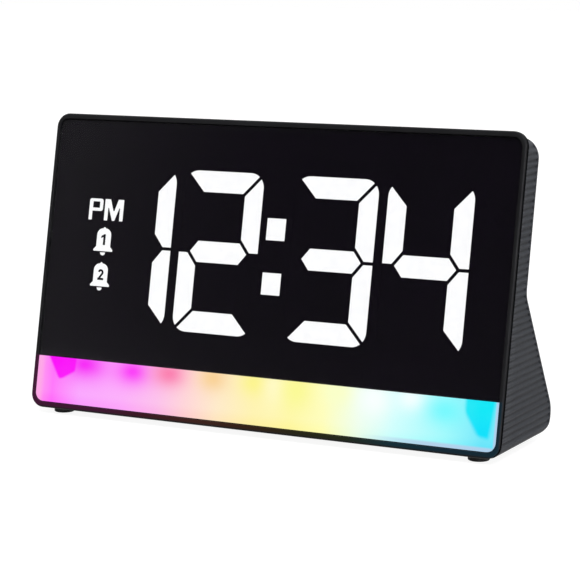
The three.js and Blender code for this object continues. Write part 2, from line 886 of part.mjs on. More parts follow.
function panelScrews() {
  const tip = plateBack + fitGap;
  const rows = ["lower", "upper"];
  return sides.flatMap(([side, sign]) => rows.flatMap((row, i) => [
    screwAlongY(`case_screw_${row}_${side}`, sign * postX, caseScrewHeights[i], tip, backWallInside + fitGap),
    screwAlongY(`board_screw_${row}_${side}`, sign * postX, boardScrewHeights[i], tip, boardBack + fitGap),
  ]));
}

// Buttons in the back and the snooze bar, in the panel's frame

const buttonXs = buttonNames.map((_, i) => (i - (buttonNames.length - 1) / 2) * buttonPitch);

function buttonHole(x) {
  return centred(x, buttonRow, buttonWidth + 2 * fitGap, buttonHeight + 2 * fitGap, buttonCorner);
}

function rearButton(name, x) {
  const cap = plate(
    centred(x, buttonRow, buttonWidth, buttonHeight, buttonCorner),
    lipBack - lipThickness / 2,
    slimDepth + buttonProud,
  );
  const grown = 2 * (fitGap + buttonLip);
  const lip = plate(
    centred(x, buttonRow, buttonWidth + grown, buttonHeight + grown, buttonCorner),
    lipFront,
    lipBack,
  );
  return piece(`${name}_button`, join(cap, lip), "mattBlack");
}

function rearSwitch(name, x) {
  const front = boardBack + fitGap;
  const plungerEnd = lipFront - buttonTravel - fitGap;
  const back = plungerEnd - plungerHeight;
  const body = plate(centred(x, buttonRow, switchSize, switchSize), front, back);
  const plunger = pin(plungerRadius, x, buttonRow, (front + back) / 2, plungerEnd);
  return piece(`${name}_switch`, join(body, plunger), "chip");
}

function snoozeSlot(grow) {
  const half = snoozeLength / 2 + grow;
  const near = snoozeMiddle - snoozeWidth / 2 - grow;
  return block(
    -half, half, near, near + snoozeWidth + 2 * grow,
    topWallInside - overrun, topWallOutside + overrun,
  );
}

const snoozeSwitchTop = snoozeSwitchBottom + snoozeSwitchHeight;
const snoozeLegBottom = snoozeSwitchTop + plungerHeight + snoozeTravel + fitGap / 2;
const snoozeSwitchFront = boardBack + fitGap;
const snoozeSwitchMiddle = snoozeSwitchFront + snoozeSwitchDepth / 2;

function snoozeBar() {
  const half = snoozeLength / 2;
  const near = snoozeMiddle - snoozeWidth / 2;
  const far = near + snoozeWidth;
  const lipHigh = topWallInside - fitGap;
  const lipLow = lipHigh - lipThickness;
  const cap = block(-half, half, near, far, lipLow, topWallOutside + snoozeProud);
  const lip = block(-half - 2 * snoozeLip, half + 2 * snoozeLip, near - snoozeLip, far + snoozeLip, lipLow, lipHigh);
  const legs = [-snoozeLegSpread, snoozeLegSpread].map((x) => block(
    x - snoozeLegWidth / 2, x + snoozeLegWidth / 2,
    snoozeSwitchMiddle - snoozeLegDepth / 2, snoozeSwitchMiddle + snoozeLegDepth / 2,
    snoozeLegBottom, lipHigh - lipThickness / 2,
  ));
  return piece("snooze_bar", join(cap, lip, ...legs), "mattBlack");
}

function snoozeSwitch(side, sign) {
  const x = sign * snoozeLegSpread;
  const half = snoozeSwitchWidth / 2;
  const body = block(
    x - half, x + half, snoozeSwitchFront, snoozeSwitchFront + snoozeSwitchDepth,
    snoozeSwitchBottom, snoozeSwitchTop,
  );
  const plunger = block(
    x - plungerRadius, x + plungerRadius,
    snoozeSwitchMiddle - plungerRadius / 2, snoozeSwitchMiddle + plungerRadius / 2,
    snoozeSwitchTop - snoozeSwitchHeight / 2, snoozeSwitchTop + plungerHeight,
  );
  return piece(`snooze_switch_${side}`, join(body, plunger), "chip");
}

// The housing, in the base's frame

function pointInBase(depth, height) {
  return new THREE.Vector2(
    depth * cosLean + height * sinLean,
    faceLift + height * cosLean - depth * sinLean,
  );
}

// The flare is the line that touches the heel's circle and passes through the kink in the back.
// It is given by its normal and its distance, for a skin set in by inset.
function flareLine(inset) {
  const centre = new THREE.Vector2(caseDepth - heelRadius, heelRadius);
  const toKink = pointInBase(slimDepth, kinkHeight).sub(centre);
  const angle = toKink.angle() - Math.acos(heelRadius / toKink.length());
  const normal = new THREE.Vector2(Math.cos(angle), Math.sin(angle));
  return { normal, distance: normal.dot(centre) + heelRadius - inset };
}

function backOfFlare(height, inset) {
  const { normal, distance } = flareLine(inset);
  return (distance - normal.y * height) / normal.x;
}

function housingProfile(inset, front) {
  const { normal, distance } = flareLine(inset);
  const back = slimDepth - inset;
  const low = pointInBase(back, 0);
  const rise = new THREE.Vector2(sinLean, cosLean);
  const kink = low.clone().addScaledVector(rise, (distance - normal.dot(low)) / normal.dot(rise));
  const top = topWallOutside - inset;
  const topBack = pointInBase(back, top);
  const topFront = pointInBase(front, top);
  const toe = pointInBase(front, (inset - faceLift + front * sinLean) / cosLean);
  return roundedOutline([
    [toe.x, toe.y, 0],
    [backOfFlare(inset, inset), inset, heelRadius - inset],
    [kink.x, kink.y, kinkRadius + inset],
    [topBack.x, topBack.y, Math.max(backEdgeRadius - inset, 0)],
    [topFront.x, topFront.y, 0],
  ]);
}

// The housing's body as if it were solid, set in by inset and open to the front from front.
function housingBody(inset, front) {
  const side = caseWidth / 2 - housingInset - inset;
  const lower = Math.max(lowerEdgeRadius - inset, 0);
  const reach = faceHeight + caseDepth;
  return common(
    bar(housingProfile(inset, front), -side, side),
    plate(
      rectangle(-side, side, -reach, topWallOutside - inset, housingCorner - inset, 0),
      -caseDepth,
      reach,
    ).applyMatrix4(panelInBase),
    plate(rectangle(-side, side, inset, 2 * reach, 0, lower), -caseDepth, reach),
  );
}

function doorOutline(grow) {
  const half = cellRadius + hatchMargin + doorBorder + grow;
  return rectangle(
    cellAt.x - half, cellAt.x + half + doorTab, cellAt.y - half, cellAt.y + half, doorCorner,
  );
}

const doorScrewAt = {
  x: cellAt.x + cellRadius + hatchMargin + doorBorder + doorTab / 2,
  y: cellAt.y,
};

// What is joined to the housing's inner faces.
function housingBosses() {
  const screwBosses = [-postX, postX].flatMap((x) => caseScrewHeights.map((height) => pin(
    bossRadius, x, height, backWallInside - bossReach, backWallInside + overrun,
  ).applyMatrix4(panelInBase)));
  const boardBosses = mainBoardCorners().map(([x, y]) => post(
    mainBossRadius, x, y, wall - overrun, mainBoardHeight - fitGap,
  ));
  const collar = cut(
    pin(inletRadius + inletWall, jackX, jackAxis, jackMouth + fitGap, caseDepth),
    pin(inletRadius, jackX, jackAxis, jackMouth, caseDepth + overrun),
  );
  const ringRadius = speakerRadius + fitGap;
  const ring = cut(
    post(ringRadius + speakerRingWall, speakerAt.x, speakerAt.y, wall - overrun, wall + speakerRingHeight, fineSides),
    post(ringRadius, speakerAt.x, speakerAt.y, wall, wall + speakerRingHeight + overrun, fineSides),
  );
  const hatch = slab(doorOutline(fitGap + hatchRim), wall - overrun, hatchTop);
  const doorBoss = post(
    doorScrewBossRadius, doorScrewAt.x, doorScrewAt.y, hatchTop - overrun, hatchTop + doorScrewBossHeight,
  );
  return [...screwBosses, ...boardBosses, collar, ring, hatch, doorBoss];
}

// What is cut through the housing's walls.
function housingCuts() {
  const screwHoles = [-postX, postX].flatMap((x) => caseScrewHeights.flatMap((height) => [
    pin(pilotRadius, x, height, backWallInside - bossReach - overrun, slimDepth),
    pin(screwHeadRadius + fitGap, x, height, backWallInside, slimDepth + overrun),
  ]));
  const buttonHoles = buttonXs.map((x) => plate(buttonHole(x), lipBack, slimDepth + overrun));
  const boardPilots = mainBoardCorners().map(([x, y]) => post(
    pilotRadius, x, y, wall, mainBoardHeight + overrun,
  ));
  const slots = Array.from({ length: soundSlots }, (_, i) => {
    const y = speakerAt.y + (i - (soundSlots - 1) / 2) * soundSlotPitch;
    return slab(
      centred(speakerAt.x, y, soundSlotLength, soundSlotWidth, soundSlotEndShare * soundSlotWidth),
      -overrun,
      wall + overrun,
    );
  });
  const feet = footPlaces().map(([, x, y]) => post(
    footRadius + fitGap, x, y, -overrun, footRecess,
  ));
  const half = cellRadius + hatchMargin;
  return [
    ...[...screwHoles, ...buttonHoles, snoozeSlot(fitGap)].map((shape) => shape.applyMatrix4(panelInBase)),
    pin(inletRadius, jackX, jackAxis, jackMouth, caseDepth + overrun),
    ...boardPilots,
    ...slots,
    ...feet,
    slab(doorOutline(fitGap), -overrun, doorTop + fitGap),
    slab(centred(cellAt.x, cellAt.y, 2 * half, 2 * half, doorCorner), -overrun, hatchTop + overrun),
    post(
      doorScrewShankRadius + fitGap, doorScrewAt.x, doorScrewAt.y,
      -overrun, hatchTop + doorScrewBossHeight + overrun,
    ),
  ];
}

function rearHousing() {
  const outer = housingBody(0, housingFront);
  const inner = housingBody(wall, -caseDepth);
  const shell = cut(outer, inner);
  const bosses = housingBosses().map((boss) => common(boss, outer));
  return piece("rear_housing", cut(join(shell, ...bosses), ...housingCuts()), "charcoal");
}

// Feet, in the base's frame

function footPlaces() {
  return sides.flatMap(([side, sign]) => [
    [`foot_front_${side}`, sign * footSpread, footFront],
    [`foot_rear_${side}`, sign * footSpread, footRear],
  ]);
}

function foot(name, x, y) {
  const top = footRecess - fitGap;
  const shape = turned([
    [0, -footDrop],
    [footRadius - footChamfer, -footDrop],
    [footRadius, footChamfer - footDrop],
    [footRadius, top],
    [0, top],
  ]).translate(x, y, 0);
  return piece(name, shape, "rubber");
}

// Main board, in the base's frame

function mainBoardCorners() {
  return [mainBoard.left + mainBossInset, mainBoard.right - mainBossInset].flatMap((x) => [
    [x, mainBoard.front + mainBossInset],
    [x, mainBoard.back - mainBossInset],
  ]);
}

function mainBoardPiece() {
  const { left, right, front, back } = mainBoard;
  const sheet = block(left, right, front, back, mainBoardHeight, mainBoardTop);
  const holes = mainBoardCorners().map(([x, y]) => post(
    pilotRadius, x, y, mainBoardHeight - overrun, mainBoardTop + overrun,
  ));
  const connector = block(
    -connectorWidth / 2, connectorWidth / 2,
    mainConnectorY - connectorDepth / 2, mainConnectorY + connectorDepth / 2,
    mainBoardTop - boardThickness / 2, mainBoardTop + connectorHeight,
  );
  const crystal = block(
    crystalAt.x - crystalWidth / 2, crystalAt.x + crystalWidth / 2,
    crystalAt.y - crystalDepth / 2, crystalAt.y + crystalDepth / 2,
    mainBoardTop - boardThickness / 2, mainBoardTop + crystalHeight,
  );
  return piece("main_board", join(cut(sheet, ...holes), connector, crystal), "boardGreen");
}

function microcontroller() {
  const half = chipWidth / 2;
  const { x, y } = chipAt;
  const shape = block(x - half, x + half, y - half, y + half, componentBase, componentBase + chipHeight);
  return piece("microcontroller", shape, "chip");
}

function capacitor() {
  const top = componentBase + capacitorHeight;
  const shape = turned([
    [0, componentBase],
    [capacitorRadius, componentBase],
    [capacitorRadius, top - capacitorRim],
    [capacitorRadius - capacitorRim, top],
    [0, top],
  ], roundSides).translate(capacitorAt.x, capacitorAt.y, 0);
  return piece("capacitor", shape, "magnet");
}

function mainBoardScrews() {
  const corners = mainBoardCorners();
  const headBottom = componentBase;
  const headTop = headBottom + screwHeadHeight;
  return [["left", corners[0]], ["right", corners[3]]].map(([side, [x, y]]) => piece(
    `main_board_screw_${side}`,
    turned([
      [0, wall + fitGap],
      [screwShankRadius, wall + fitGap],
      [screwShankRadius, headBottom],
      [screwHeadRadius, headBottom],
      [screwHeadRadius, headTop],
      [0, headTop],
    ], roundSides).translate(x, y, 0),
    "plating",
  ));
}

// The flat cable from the display board's connector down to the main board's.
function displayRibbon() {
  const start = pointInBase(boardBack + connectorHeight / 2, displayConnectorBottom - fitGap);
  const end = new THREE.Vector2(mainConnectorY, mainBoardTop + connectorHeight + fitGap);
  const down = new THREE.Vector2(-sinLean, -cosLean).multiplyScalar(ribbonBend);
  const path = new THREE.CubicBezierCurve(
    start,
    start.clone().add(down),
    new THREE.Vector2(end.x, end.y + ribbonBend),
    end,
  );
  const steps = 5 * arcSteps;
  const edge = (sign) => Array.from({ length: steps + 1 }, (_, i) => {
    const along = path.getTangent(i / steps);
    const across = new THREE.Vector2(-along.y, along.x).multiplyScalar((sign * ribbonThickness) / 2);
    return path.getPoint(i / steps).add(across);
  });
  const outline = new THREE.Shape([...edge(-1), ...edge(1).reverse()]);
  return piece("display_ribbon", bar(outline, -ribbonWidth / 2, ribbonWidth / 2), "ribbon");
}

function dcJack() {
  const half = jackWidth / 2;
  const body = block(
    jackX - half, jackX + half, jackBack, jackMouth, componentBase, componentBase + jackHeight,
  );
  const bore = pin(jackBore, jackX, jackAxis, jackMouth - jackBoreDepth, jackMouth + overrun);
  return piece("dc_jack", cut(body, bore), "mattBlack");
}

function dcJackPin() {
  const near = jackMouth - jackBoreDepth + fitGap;
  return piece("dc_jack_pin", pin(jackPinRadius, jackX, jackAxis, near, jackMouth - jackPinRecess), "plating");
}

// Speaker: the cone faces the slots in the underside

const speakerLow = wall + fitGap;

function speakerBasket() {
  const inner = speakerRadius - speakerRim;
  const high = speakerLow + speakerDepth;
  const shape = turned([
    [magnetHole, high],
    [inner, high],
    [inner, speakerLow],
    [speakerRadius, speakerLow],
    [speakerRadius, high + speakerBack],
    [magnetHole, high + speakerBack],
    [magnetHole, high],
  ]).translate(speakerAt.x, speakerAt.y, 0);
  return piece("speaker_basket", shape, "magnet");
}

function speakerCone() {
  const edge = speakerRadius - speakerRim - fitGap;
  const low = speakerLow;
  const shape = turned([
    [0, low + coneDrop],
    [edge, low],
    [edge, low + coneThickness],
    [0, low + coneDrop + coneThickness],
  ]).translate(speakerAt.x, speakerAt.y, 0);
  return piece("speaker_cone", shape, "cone");
}

function speakerMagnet() {
  const low = speakerLow + speakerDepth + speakerBack + fitGap;
  const shape = post(magnetRadius, speakerAt.x, speakerAt.y, low, low + magnetHeight, fineSides);
  return piece("speaker_magnet", shape, "magnet");
}

// Back-up cell, from the holder down to the door

function cellHolder() {
  const inner = cellRadius + cellClearance;
  const half = inner + holderWall;
  const body = slab(centred(cellAt.x, cellAt.y, 2 * half, 2 * half, doorCorner), holderBottom, holderTop);
  const pocket = post(inner, cellAt.x, cellAt.y, holderBottom - overrun, holderTop - holderCeiling, fineSides);
  return piece("cell_holder", cut(body, pocket), "mattBlack");
}

function coinCell() {
  const shape = turned([
    [0, cellBottom],
    [cellRadius, cellBottom],
    [cellRadius, cellTop - cellStep],
    [cellRadius - cellStepInset, cellTop],
    [0, cellTop],
  ]).translate(cellAt.x, cellAt.y, 0);
  return piece("coin_cell", shape, "plating");
}

function cellContacts() {
  const { x, y } = cellAt;
  const stripLow = cellTop + fitGap;
  const halfStrip = contactWidth / 2;
  const strip = block(
    x - contactLength / 2, x + contactLength / 2, y - halfStrip, y + halfStrip,
    stripLow, stripLow + contactThickness,
  );
  const near = x - cellRadius - fitGap - contactThickness;
  const clip = block(near, near + contactThickness, y - halfStrip, y + halfStrip, holderBottom, cellTop - cellStep);
  return [
    piece("cell_contact_negative", strip, "plating"),
    piece("cell_contact_positive", clip, "plating"),
  ];
}

function batteryDoor() {
  const sheet = slab(doorOutline(0), 0, doorTop);
  const { x, y } = doorScrewAt;
  const shape = cut(
    sheet,
    post(doorScrewShankRadius + fitGap, x, y, -overrun, doorTop + overrun),
    post(doorScrewHeadRadius + fitGap, x, y, -overrun, doorScrewHeadHeight),
  );
  return piece("battery_door", shape, "charcoal");
}

function batteryDoorScrew() {
  const { x, y } = doorScrewAt;
  const head = post(doorScrewHeadRadius, x, y, 0, doorScrewHeadHeight - fitGap);
  const shank = post(doorScrewShankRadius, x, y, doorScrewHeadHeight / 2, doorScrewLength);
  const slot = block(
    x - doorScrewHeadRadius, x + doorScrewHeadRadius,
    y - doorScrewSlotWidth / 2, y + doorScrewSlotWidth / 2,
    -overrun, doorScrewSlotDepth,
  );
  return piece("battery_door_screw", cut(join(head, shank), slot), "plating");
}

// The clock

const clock = new THREE.Group();

const base = new THREE.Group();
base.position.z = footDrop;
base.add(
  rearHousing(),
  ...footPlaces().map(([name, x, y]) => foot(name, x, y)),
  mainBoardPiece(),
  microcontroller(),
  capacitor(),
  ...mainBoardScrews(),
  displayRibbon(),
  dcJack(),
  dcJackPin(),
  speakerBasket(),
  speakerCone(),
  speakerMagnet(),
  cellHolder(),
  coinCell(),
  ...cellContacts(),
  batteryDoor(),
  batteryDoorScrew(),
);
clock.add(base);

const panel = new THREE.Group();
panel.position.set(0, 0, faceLift);
panel.rotation.x = -lean;
panel.add(
  frontFrame(),
  displayLens(),
  lightBarLens(),
  displayMask(),
  ...diffusers(),
  displayReflector(),
  displayBoard(),
  lightBarTray(),
  lightBarBoard(),
  ...panelScrews(),
  ...buttonNames.map((name, i) => rearButton(name, buttonXs[i])),
  ...buttonNames.map((name, i) => rearSwitch(name, buttonXs[i])),
  snoozeBar(),
  ...sides.map(([side, sign]) => snoozeSwitch(side, sign)),
);
base.add(panel);

// The clock stands with the middle of its depth on the origin.
const span = new THREE.Box3().setFromObject(base, true);
base.position.y -= (span.min.y + span.max.y) / 2;

export default clock;
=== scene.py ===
"""A bedside alarm clock with lit figures and a colour light bar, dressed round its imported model.

Sizes are in millimetres and become metres when a mesh is made. In the panel's frame a point is
(x, depth behind the face, height up the face), and in the base's frame it is (x, distance behind
the bottom edge of the face, height above the clock's underside).
"""

import json
import math

import bmesh
import bpy
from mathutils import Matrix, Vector

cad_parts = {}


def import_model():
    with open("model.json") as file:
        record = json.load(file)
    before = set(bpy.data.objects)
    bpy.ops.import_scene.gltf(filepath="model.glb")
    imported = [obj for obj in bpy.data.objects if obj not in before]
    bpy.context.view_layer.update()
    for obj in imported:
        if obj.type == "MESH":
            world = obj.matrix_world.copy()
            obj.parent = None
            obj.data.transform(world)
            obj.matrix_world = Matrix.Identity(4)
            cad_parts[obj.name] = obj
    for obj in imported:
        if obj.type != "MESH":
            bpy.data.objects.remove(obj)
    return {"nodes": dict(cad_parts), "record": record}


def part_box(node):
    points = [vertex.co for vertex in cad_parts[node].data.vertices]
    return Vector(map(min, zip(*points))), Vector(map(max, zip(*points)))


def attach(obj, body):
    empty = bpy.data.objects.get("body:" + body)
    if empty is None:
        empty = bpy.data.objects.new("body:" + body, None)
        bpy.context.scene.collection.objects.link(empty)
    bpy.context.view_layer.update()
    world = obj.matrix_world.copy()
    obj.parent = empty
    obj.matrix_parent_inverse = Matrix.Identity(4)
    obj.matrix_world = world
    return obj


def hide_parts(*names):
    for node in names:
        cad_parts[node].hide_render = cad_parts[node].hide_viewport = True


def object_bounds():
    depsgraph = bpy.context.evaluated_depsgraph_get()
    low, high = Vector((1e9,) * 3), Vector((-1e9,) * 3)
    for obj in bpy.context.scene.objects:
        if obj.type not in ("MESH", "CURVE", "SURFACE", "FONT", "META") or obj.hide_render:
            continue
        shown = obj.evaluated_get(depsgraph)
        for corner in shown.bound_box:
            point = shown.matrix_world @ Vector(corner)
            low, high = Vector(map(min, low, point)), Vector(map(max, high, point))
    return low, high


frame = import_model()
cad_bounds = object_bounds()

MM = 0.001
LEAN = math.radians(11.5)
SIN_LEAN = math.sin(LEAN)
COS_LEAN = math.cos(LEAN)

# Case
CASE_DEPTH = 50.4
FACE_HEIGHT = 111.3
FACE_CORNER = 5.2
FLANGE_DEPTH = 2.3
FOOT_DROP = 2.05
WALL = 2.0
FIT_GAP = 0.3
FRONT_Y = cad_bounds[0].y / MM
FACE_LIFT = FLANGE_DEPTH * SIN_LEAN
FACE_FOOT_Z = FOOT_DROP + FACE_LIFT
HALF_WIDTH = cad_bounds[1].x / MM

# Front frame
RIM_SIDE = 1.44
RIM_TOP = 1.95
RIM_BOTTOM = 2.0
RIM_PROUD = 0.5  # in front of the lens
RIM_ROUND = 0.85
BAND_PROUD = 0.04
BAND_THICKNESS = 0.6
LIP_ROUND = 0.12
LENS_THICKNESS = 1.0
RECESS_DEPTH = RIM_PROUD + LENS_THICKNESS + FIT_GAP
TONGUE_INSET = 2.7
TONGUE_WALL = 2.0
PLATE_THICKNESS = 1.4
TONGUE_REACH = 1.35
TONGUE_BACK = RECESS_DEPTH + PLATE_THICKNESS + TONGUE_REACH
TONGUE_BOTTOM = (WALL + FIT_GAP - FACE_LIFT + TONGUE_BACK * SIN_LEAN) / COS_LEAN
CORNER_STEPS = 10
EDGE_STEPS = 4

# Film behind the lens, and the lit pads in its windows
FILM_GAP = 0.02
FILM_THICKNESS = 0.23
FILM_NEAR = RIM_PROUD + LENS_THICKNESS + FILM_GAP
FILM_FAR = FILM_NEAR + FILM_THICKNESS
FILM_BOTTOM = 18.2
FILM_INSET = 0.1  # from the edge of the lens
FILM_ROUND = 0.1
FLAT = 0.01  # how far the points of one flat face may be apart in depth
PAD_RECESS = 0.05
PAD_THICKNESS = 1.38
PAD_NEAR = FILM_NEAR + PAD_RECESS
PAD_FAR = PAD_NEAR + PAD_THICKNESS
PRINT_NEAR = FILM_NEAR + FILM_GAP
PRINT_FAR = PAD_NEAR + FILM_GAP
WINDOW_INSET = 0.1  # a window and its pad are set in by this from the CAD node's outline

# Housing
HOUSING_INSET = 0.4
TOP_HEIGHT = FACE_HEIGHT - HOUSING_INSET
HOUSING_GAP = 0.5
HOUSING_FRONT = FLANGE_DEPTH + HOUSING_GAP
HOUSING_CORNER = 7.8
TONGUE_CORNER = HOUSING_CORNER - WALL - FIT_GAP
SLIM_DEPTH = 13.85
KINK_HEIGHT = 56.5
KINK_RADIUS = 6.0
BACK_EDGE_RADIUS = 2.0
HEEL_RADIUS = 8.0
LOWER_EDGE_RADIUS = 4.2
SIDE_BACK_RADIUS = 0.4
RIB_PITCH = 2.3
RIB_DEPTH = 0.6
RIB_STEPS = 8
RIB_START = 3.4
RIB_FADE = 0.5
RIB_LEAD = 0.6  # the lowest rib reaches its full depth over this height
RIB_POWER = 0.85  # below 1 it narrows the crests
FADE_RUN = 6.0  # where the side is narrower than this, the ribs fade out over less
ROUND_RUN = 5.0  # and where it is narrower than this, its back edge is less rounded
TOP_ROUND = 2.0  # the back edge of the side gets sharp over this height at the top
TOP_PLAIN = 1.2  # the side's ribs fade out over this height at the top
BACK_PLAIN = 1.0  # and so do the back's, below a plain strip of the same height
PATCH_DROP = 0.07
EDGE_ROUND = 0.3
PLAIN_BAND = (70.8, 85.4)  # heights of the band that the set buttons stand in
BAND_FADE = 0.8
SIDE_STEPS = 7
ARC_STEPS = 5
LOWER_STEPS = 8
LEVEL_STEPS = 14  # sections along the top's slope
UPPER_REACH = 14.0  # more sections start this far below the top
UPPER_PITCH = 0.5
UPPER_LEVELS = 25
SHARP_ANGLE = 40  # edges stay sharp from here, in degrees

# Meshes
MERGE = 0.002  # points nearer than this become one
SLIVER = 0.001  # and shorter edges go
TINY = 1e-6  # as good as zero, where something is divided or compared
LEVEL_GAP = 0.02  # sections of the housing are at least this far apart


def srgb(red, green, blue):
    """A colour written in 0 to 255 as a screen shows it, as the linear colour that shaders take."""
    def linear(value):
        share = value / 255
        return share / 12.92 if share <= 0.04045 else ((share + 0.055) / 1.055) ** 2.4
    return (linear(red), linear(green), linear(blue), 1.0)


def panel(x, depth, height):
    y = FRONT_Y + depth * COS_LEAN + height * SIN_LEAN
    z = FACE_FOOT_Z - depth * SIN_LEAN + height * COS_LEAN
    return Vector((x, y, z)) * MM


def base(x, y, z):
    return Vector((x, FRONT_Y + y, FOOT_DROP + z)) * MM


def to_panel(point):
    """A point of the row frame, in metres, in the panel's frame, in millimetres."""
    y = point.y / MM - FRONT_Y
    z = point.z / MM - FACE_FOOT_Z
    return Vector((point.x / MM, y * COS_LEAN - z * SIN_LEAN, y * SIN_LEAN + z * COS_LEAN))


def panel_box(node):
    """Lowest and highest corner of a CAD node in the panel's frame."""
    points = [to_panel(v.co) for v in frame["nodes"][node].data.vertices]
    return [Vector(pick(p[i] for p in points) for i in range(3)) for pick in (min, max)]


def middle(box):
    return tuple((low + high) / 2 for low, high in zip(*box))


def base_box(node):
    """Lowest and highest corner of a CAD node in the base's frame."""
    shift = Vector((0, FRONT_Y, FOOT_DROP))
    return [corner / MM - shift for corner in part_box(node)]


# Outlines

def rounded_path(corners, steps=6):
    """Points of a closed outline through anticlockwise corners (x, y, radius)."""
    points = []
    for i, (x, y, radius) in enumerate(corners):
        here = Vector((x, y))
        if radius <= 0:
            points.append(here)
            continue
        before = (Vector(corners[i - 1][:2]) - here).normalized()
        after = (Vector(corners[(i + 1) % len(corners)][:2]) - here).normalized()
        half = before.angle(after) / 2
        centre = here + (before + after).normalized() * radius / math.sin(half)
        start = here + before * radius / math.tan(half) - centre
        end = here + after * radius / math.tan(half) - centre
        turn = start.angle_signed(end)
        for step in range(steps + 1):
            angle = math.atan2(start.y, start.x) - turn * step / steps
            points.append(centre + radius * Vector((math.cos(angle), math.sin(angle))))
    return points


def rectangle(left, right, bottom, top, upper=0.05, lower=0.05, steps=CORNER_STEPS):
    """Points of a rounded rectangle, as many for every size, so that outlines can be lofted."""
    points = []
    corners = [
        (left + lower, bottom + lower, lower, 2),
        (right - lower, bottom + lower, lower, 3),
        (right - upper, top - upper, upper, 0),
        (left + upper, top - upper, upper, 1),
    ]
    for x, y, radius, turns in corners:
        for step in range(steps + 1):
            angle = (turns + step / steps) * math.pi / 2
            points.append(Vector((x + radius * math.cos(angle), y + radius * math.sin(angle))))
    return points


def stroke(points, width):
    """The outline of a line of this width through points."""
    sides = ([], [])
    for i, point in enumerate(points):
        along = (points[min(i + 1, len(points) - 1)] - points[max(i - 1, 0)]).normalized()
        across = Vector((-along.y, along.x)) * width / 2
        sides[0].append(point - across)
        sides[1].append(point + across)
    return sides[0] + sides[1][::-1]


def arc(x, y, radius, start, end, steps=8):
    angles = [math.radians(start + (end - start) * i / steps) for i in range(steps + 1)]
    return [Vector((x + radius * math.cos(a), y + radius * math.sin(a))) for a in angles]


def circle(radius, sides):
    return arc(0, 0, radius, 0, 360 - 360 / sides, sides - 1)


def moved(points, x, y):
    return [point + Vector((x, y)) for point in points]


# Meshes

def loft(mesh, rings, joined=False):
    """Adds quads between neighbouring rings of points, and caps both ends or joins them."""
    loops = [[mesh.verts.new(point) for point in ring] for ring in rings]
    pairs = list(zip(loops, loops[1:])) + ([(loops[-1], loops[0])] if joined else [])
    for near, far in pairs:
        for i in range(len(near)):
            following = (i + 1) % len(near)
            mesh.faces.new((near[i], near[following], far[following], far[i]))
    if not joined:
        for loop in (loops[0], loops[-1]):
            for edge in mesh.faces.new(loop).edges:
                edge.smooth = False


def quarter(steps=ARC_STEPS, first=0):
    """(cosine, sine) of the steps of a quarter turn."""
    angles = [math.pi / 2 * step / steps for step in range(first, steps + 1)]
    return [(math.cos(angle), math.sin(angle)) for angle in angles]


def edge_profile(near, far, front_round, back_round):
    """(inset, depth) from the back of a plate round its edge to the front."""
    turns = quarter(EDGE_STEPS)
    back = [(back_round * (1 - cos), far - back_round * (1 - sin)) for cos, sin in reversed(turns)]
    return back + [(front_round * (1 - cos), near + front_round * (1 - sin)) for cos, sin in turns]


def shrunk(points, inset):
    """An anticlockwise outline set in by inset along its corners' bisectors."""
    if not inset:
        return points
    made = []
    for i, point in enumerate(points):
        before = (point - points[i - 1]).normalized()
        after = (points[(i + 1) % len(points)] - point).normalized()
        normal = Vector((-before.y - after.y, before.x + after.x))
        spread = max(normal.length_squared / 2, 0.2)
        made.append(point + normal * inset / spread)
    return made


def at_depth(outline, depth):
    """An outline that is seen from the front, at a depth behind the face."""
    return [panel(p.x, depth, p.y) for p in outline]


def at_height(outline, height):
    """An outline that is seen from above, at a height up the face."""
    return [panel(p.x, p.y, height) for p in outline]


def add_plate(mesh, outline, near, far, *rounds):
    """Adds a plate of an outline, from near to far behind the face. rounds are the radii of its
    front and back edges."""
    profile = edge_profile(near, far, *rounds) if rounds else [(0, far), (0, near)]
    loft(mesh, [at_depth(shrunk(outline, inset), depth) for inset, depth in profile])


def add_slab(mesh, outline, low, high):
    """Adds a slab of an outline in x and y, from low to high in the base's frame."""
    loft(mesh, [[base(p.x, p.y, z) for p in outline] for z in (low, high)])


def add_turned(mesh, profile, place, sides=48):
    """Adds a profile of (radius, height) points, turned about an axis. place(u, v, height) gives
    the point at u, v across the axis."""
    angles = [2 * math.pi * i / sides for i in range(sides)]
    loft(mesh, [
        [place(radius * math.cos(angle), radius * math.sin(angle), height) for angle in angles]
        for radius, height in profile
    ])


def add_object(name, data):
    made = bpy.data.objects.new(name, data)
    bpy.context.scene.collection.objects.link(made)
    return made


def make(build, name="cutter", angle=SHARP_ANGLE):
    """An object with the mesh that build(mesh) fills."""
    mesh = bmesh.new()
    build(mesh)
    bmesh.ops.remove_doubles(mesh, verts=mesh.verts, dist=MERGE * MM)
    bmesh.ops.dissolve_degenerate(mesh, edges=mesh.edges, dist=SLIVER * MM)
    bmesh.ops.recalc_face_normals(mesh, faces=mesh.faces)
    data = bpy.data.meshes.new(name)
    mesh.to_mesh(data)
    mesh.free()
    shade(data, angle)
    return add_object(name, data)


def shade(data, angle):
    data.polygons.foreach_set("use_smooth", [True] * len(data.polygons))
    data.set_sharp_from_angle(angle=math.radians(angle))


def piece(name, build, slot, body="case", replaces=(), angle=35, material=None):
    """A piece that rides on a body."""
    dress(make(build, name, angle), slot, body, replaces, material)


def dress(made, slot, body="case", replaces=(), material=None):
    made.data.materials.clear()
    made.data.materials.append(materials[material or slot])
    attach(made, body)
    if replaces:
        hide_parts(*replaces)


# Materials

LENS_ALPHA = 0.3
FIGURE_LIGHT = 1.7
BAR_LIGHT = 0.98
WHITE = (1.0, 1.0, 1.0, 1.0)


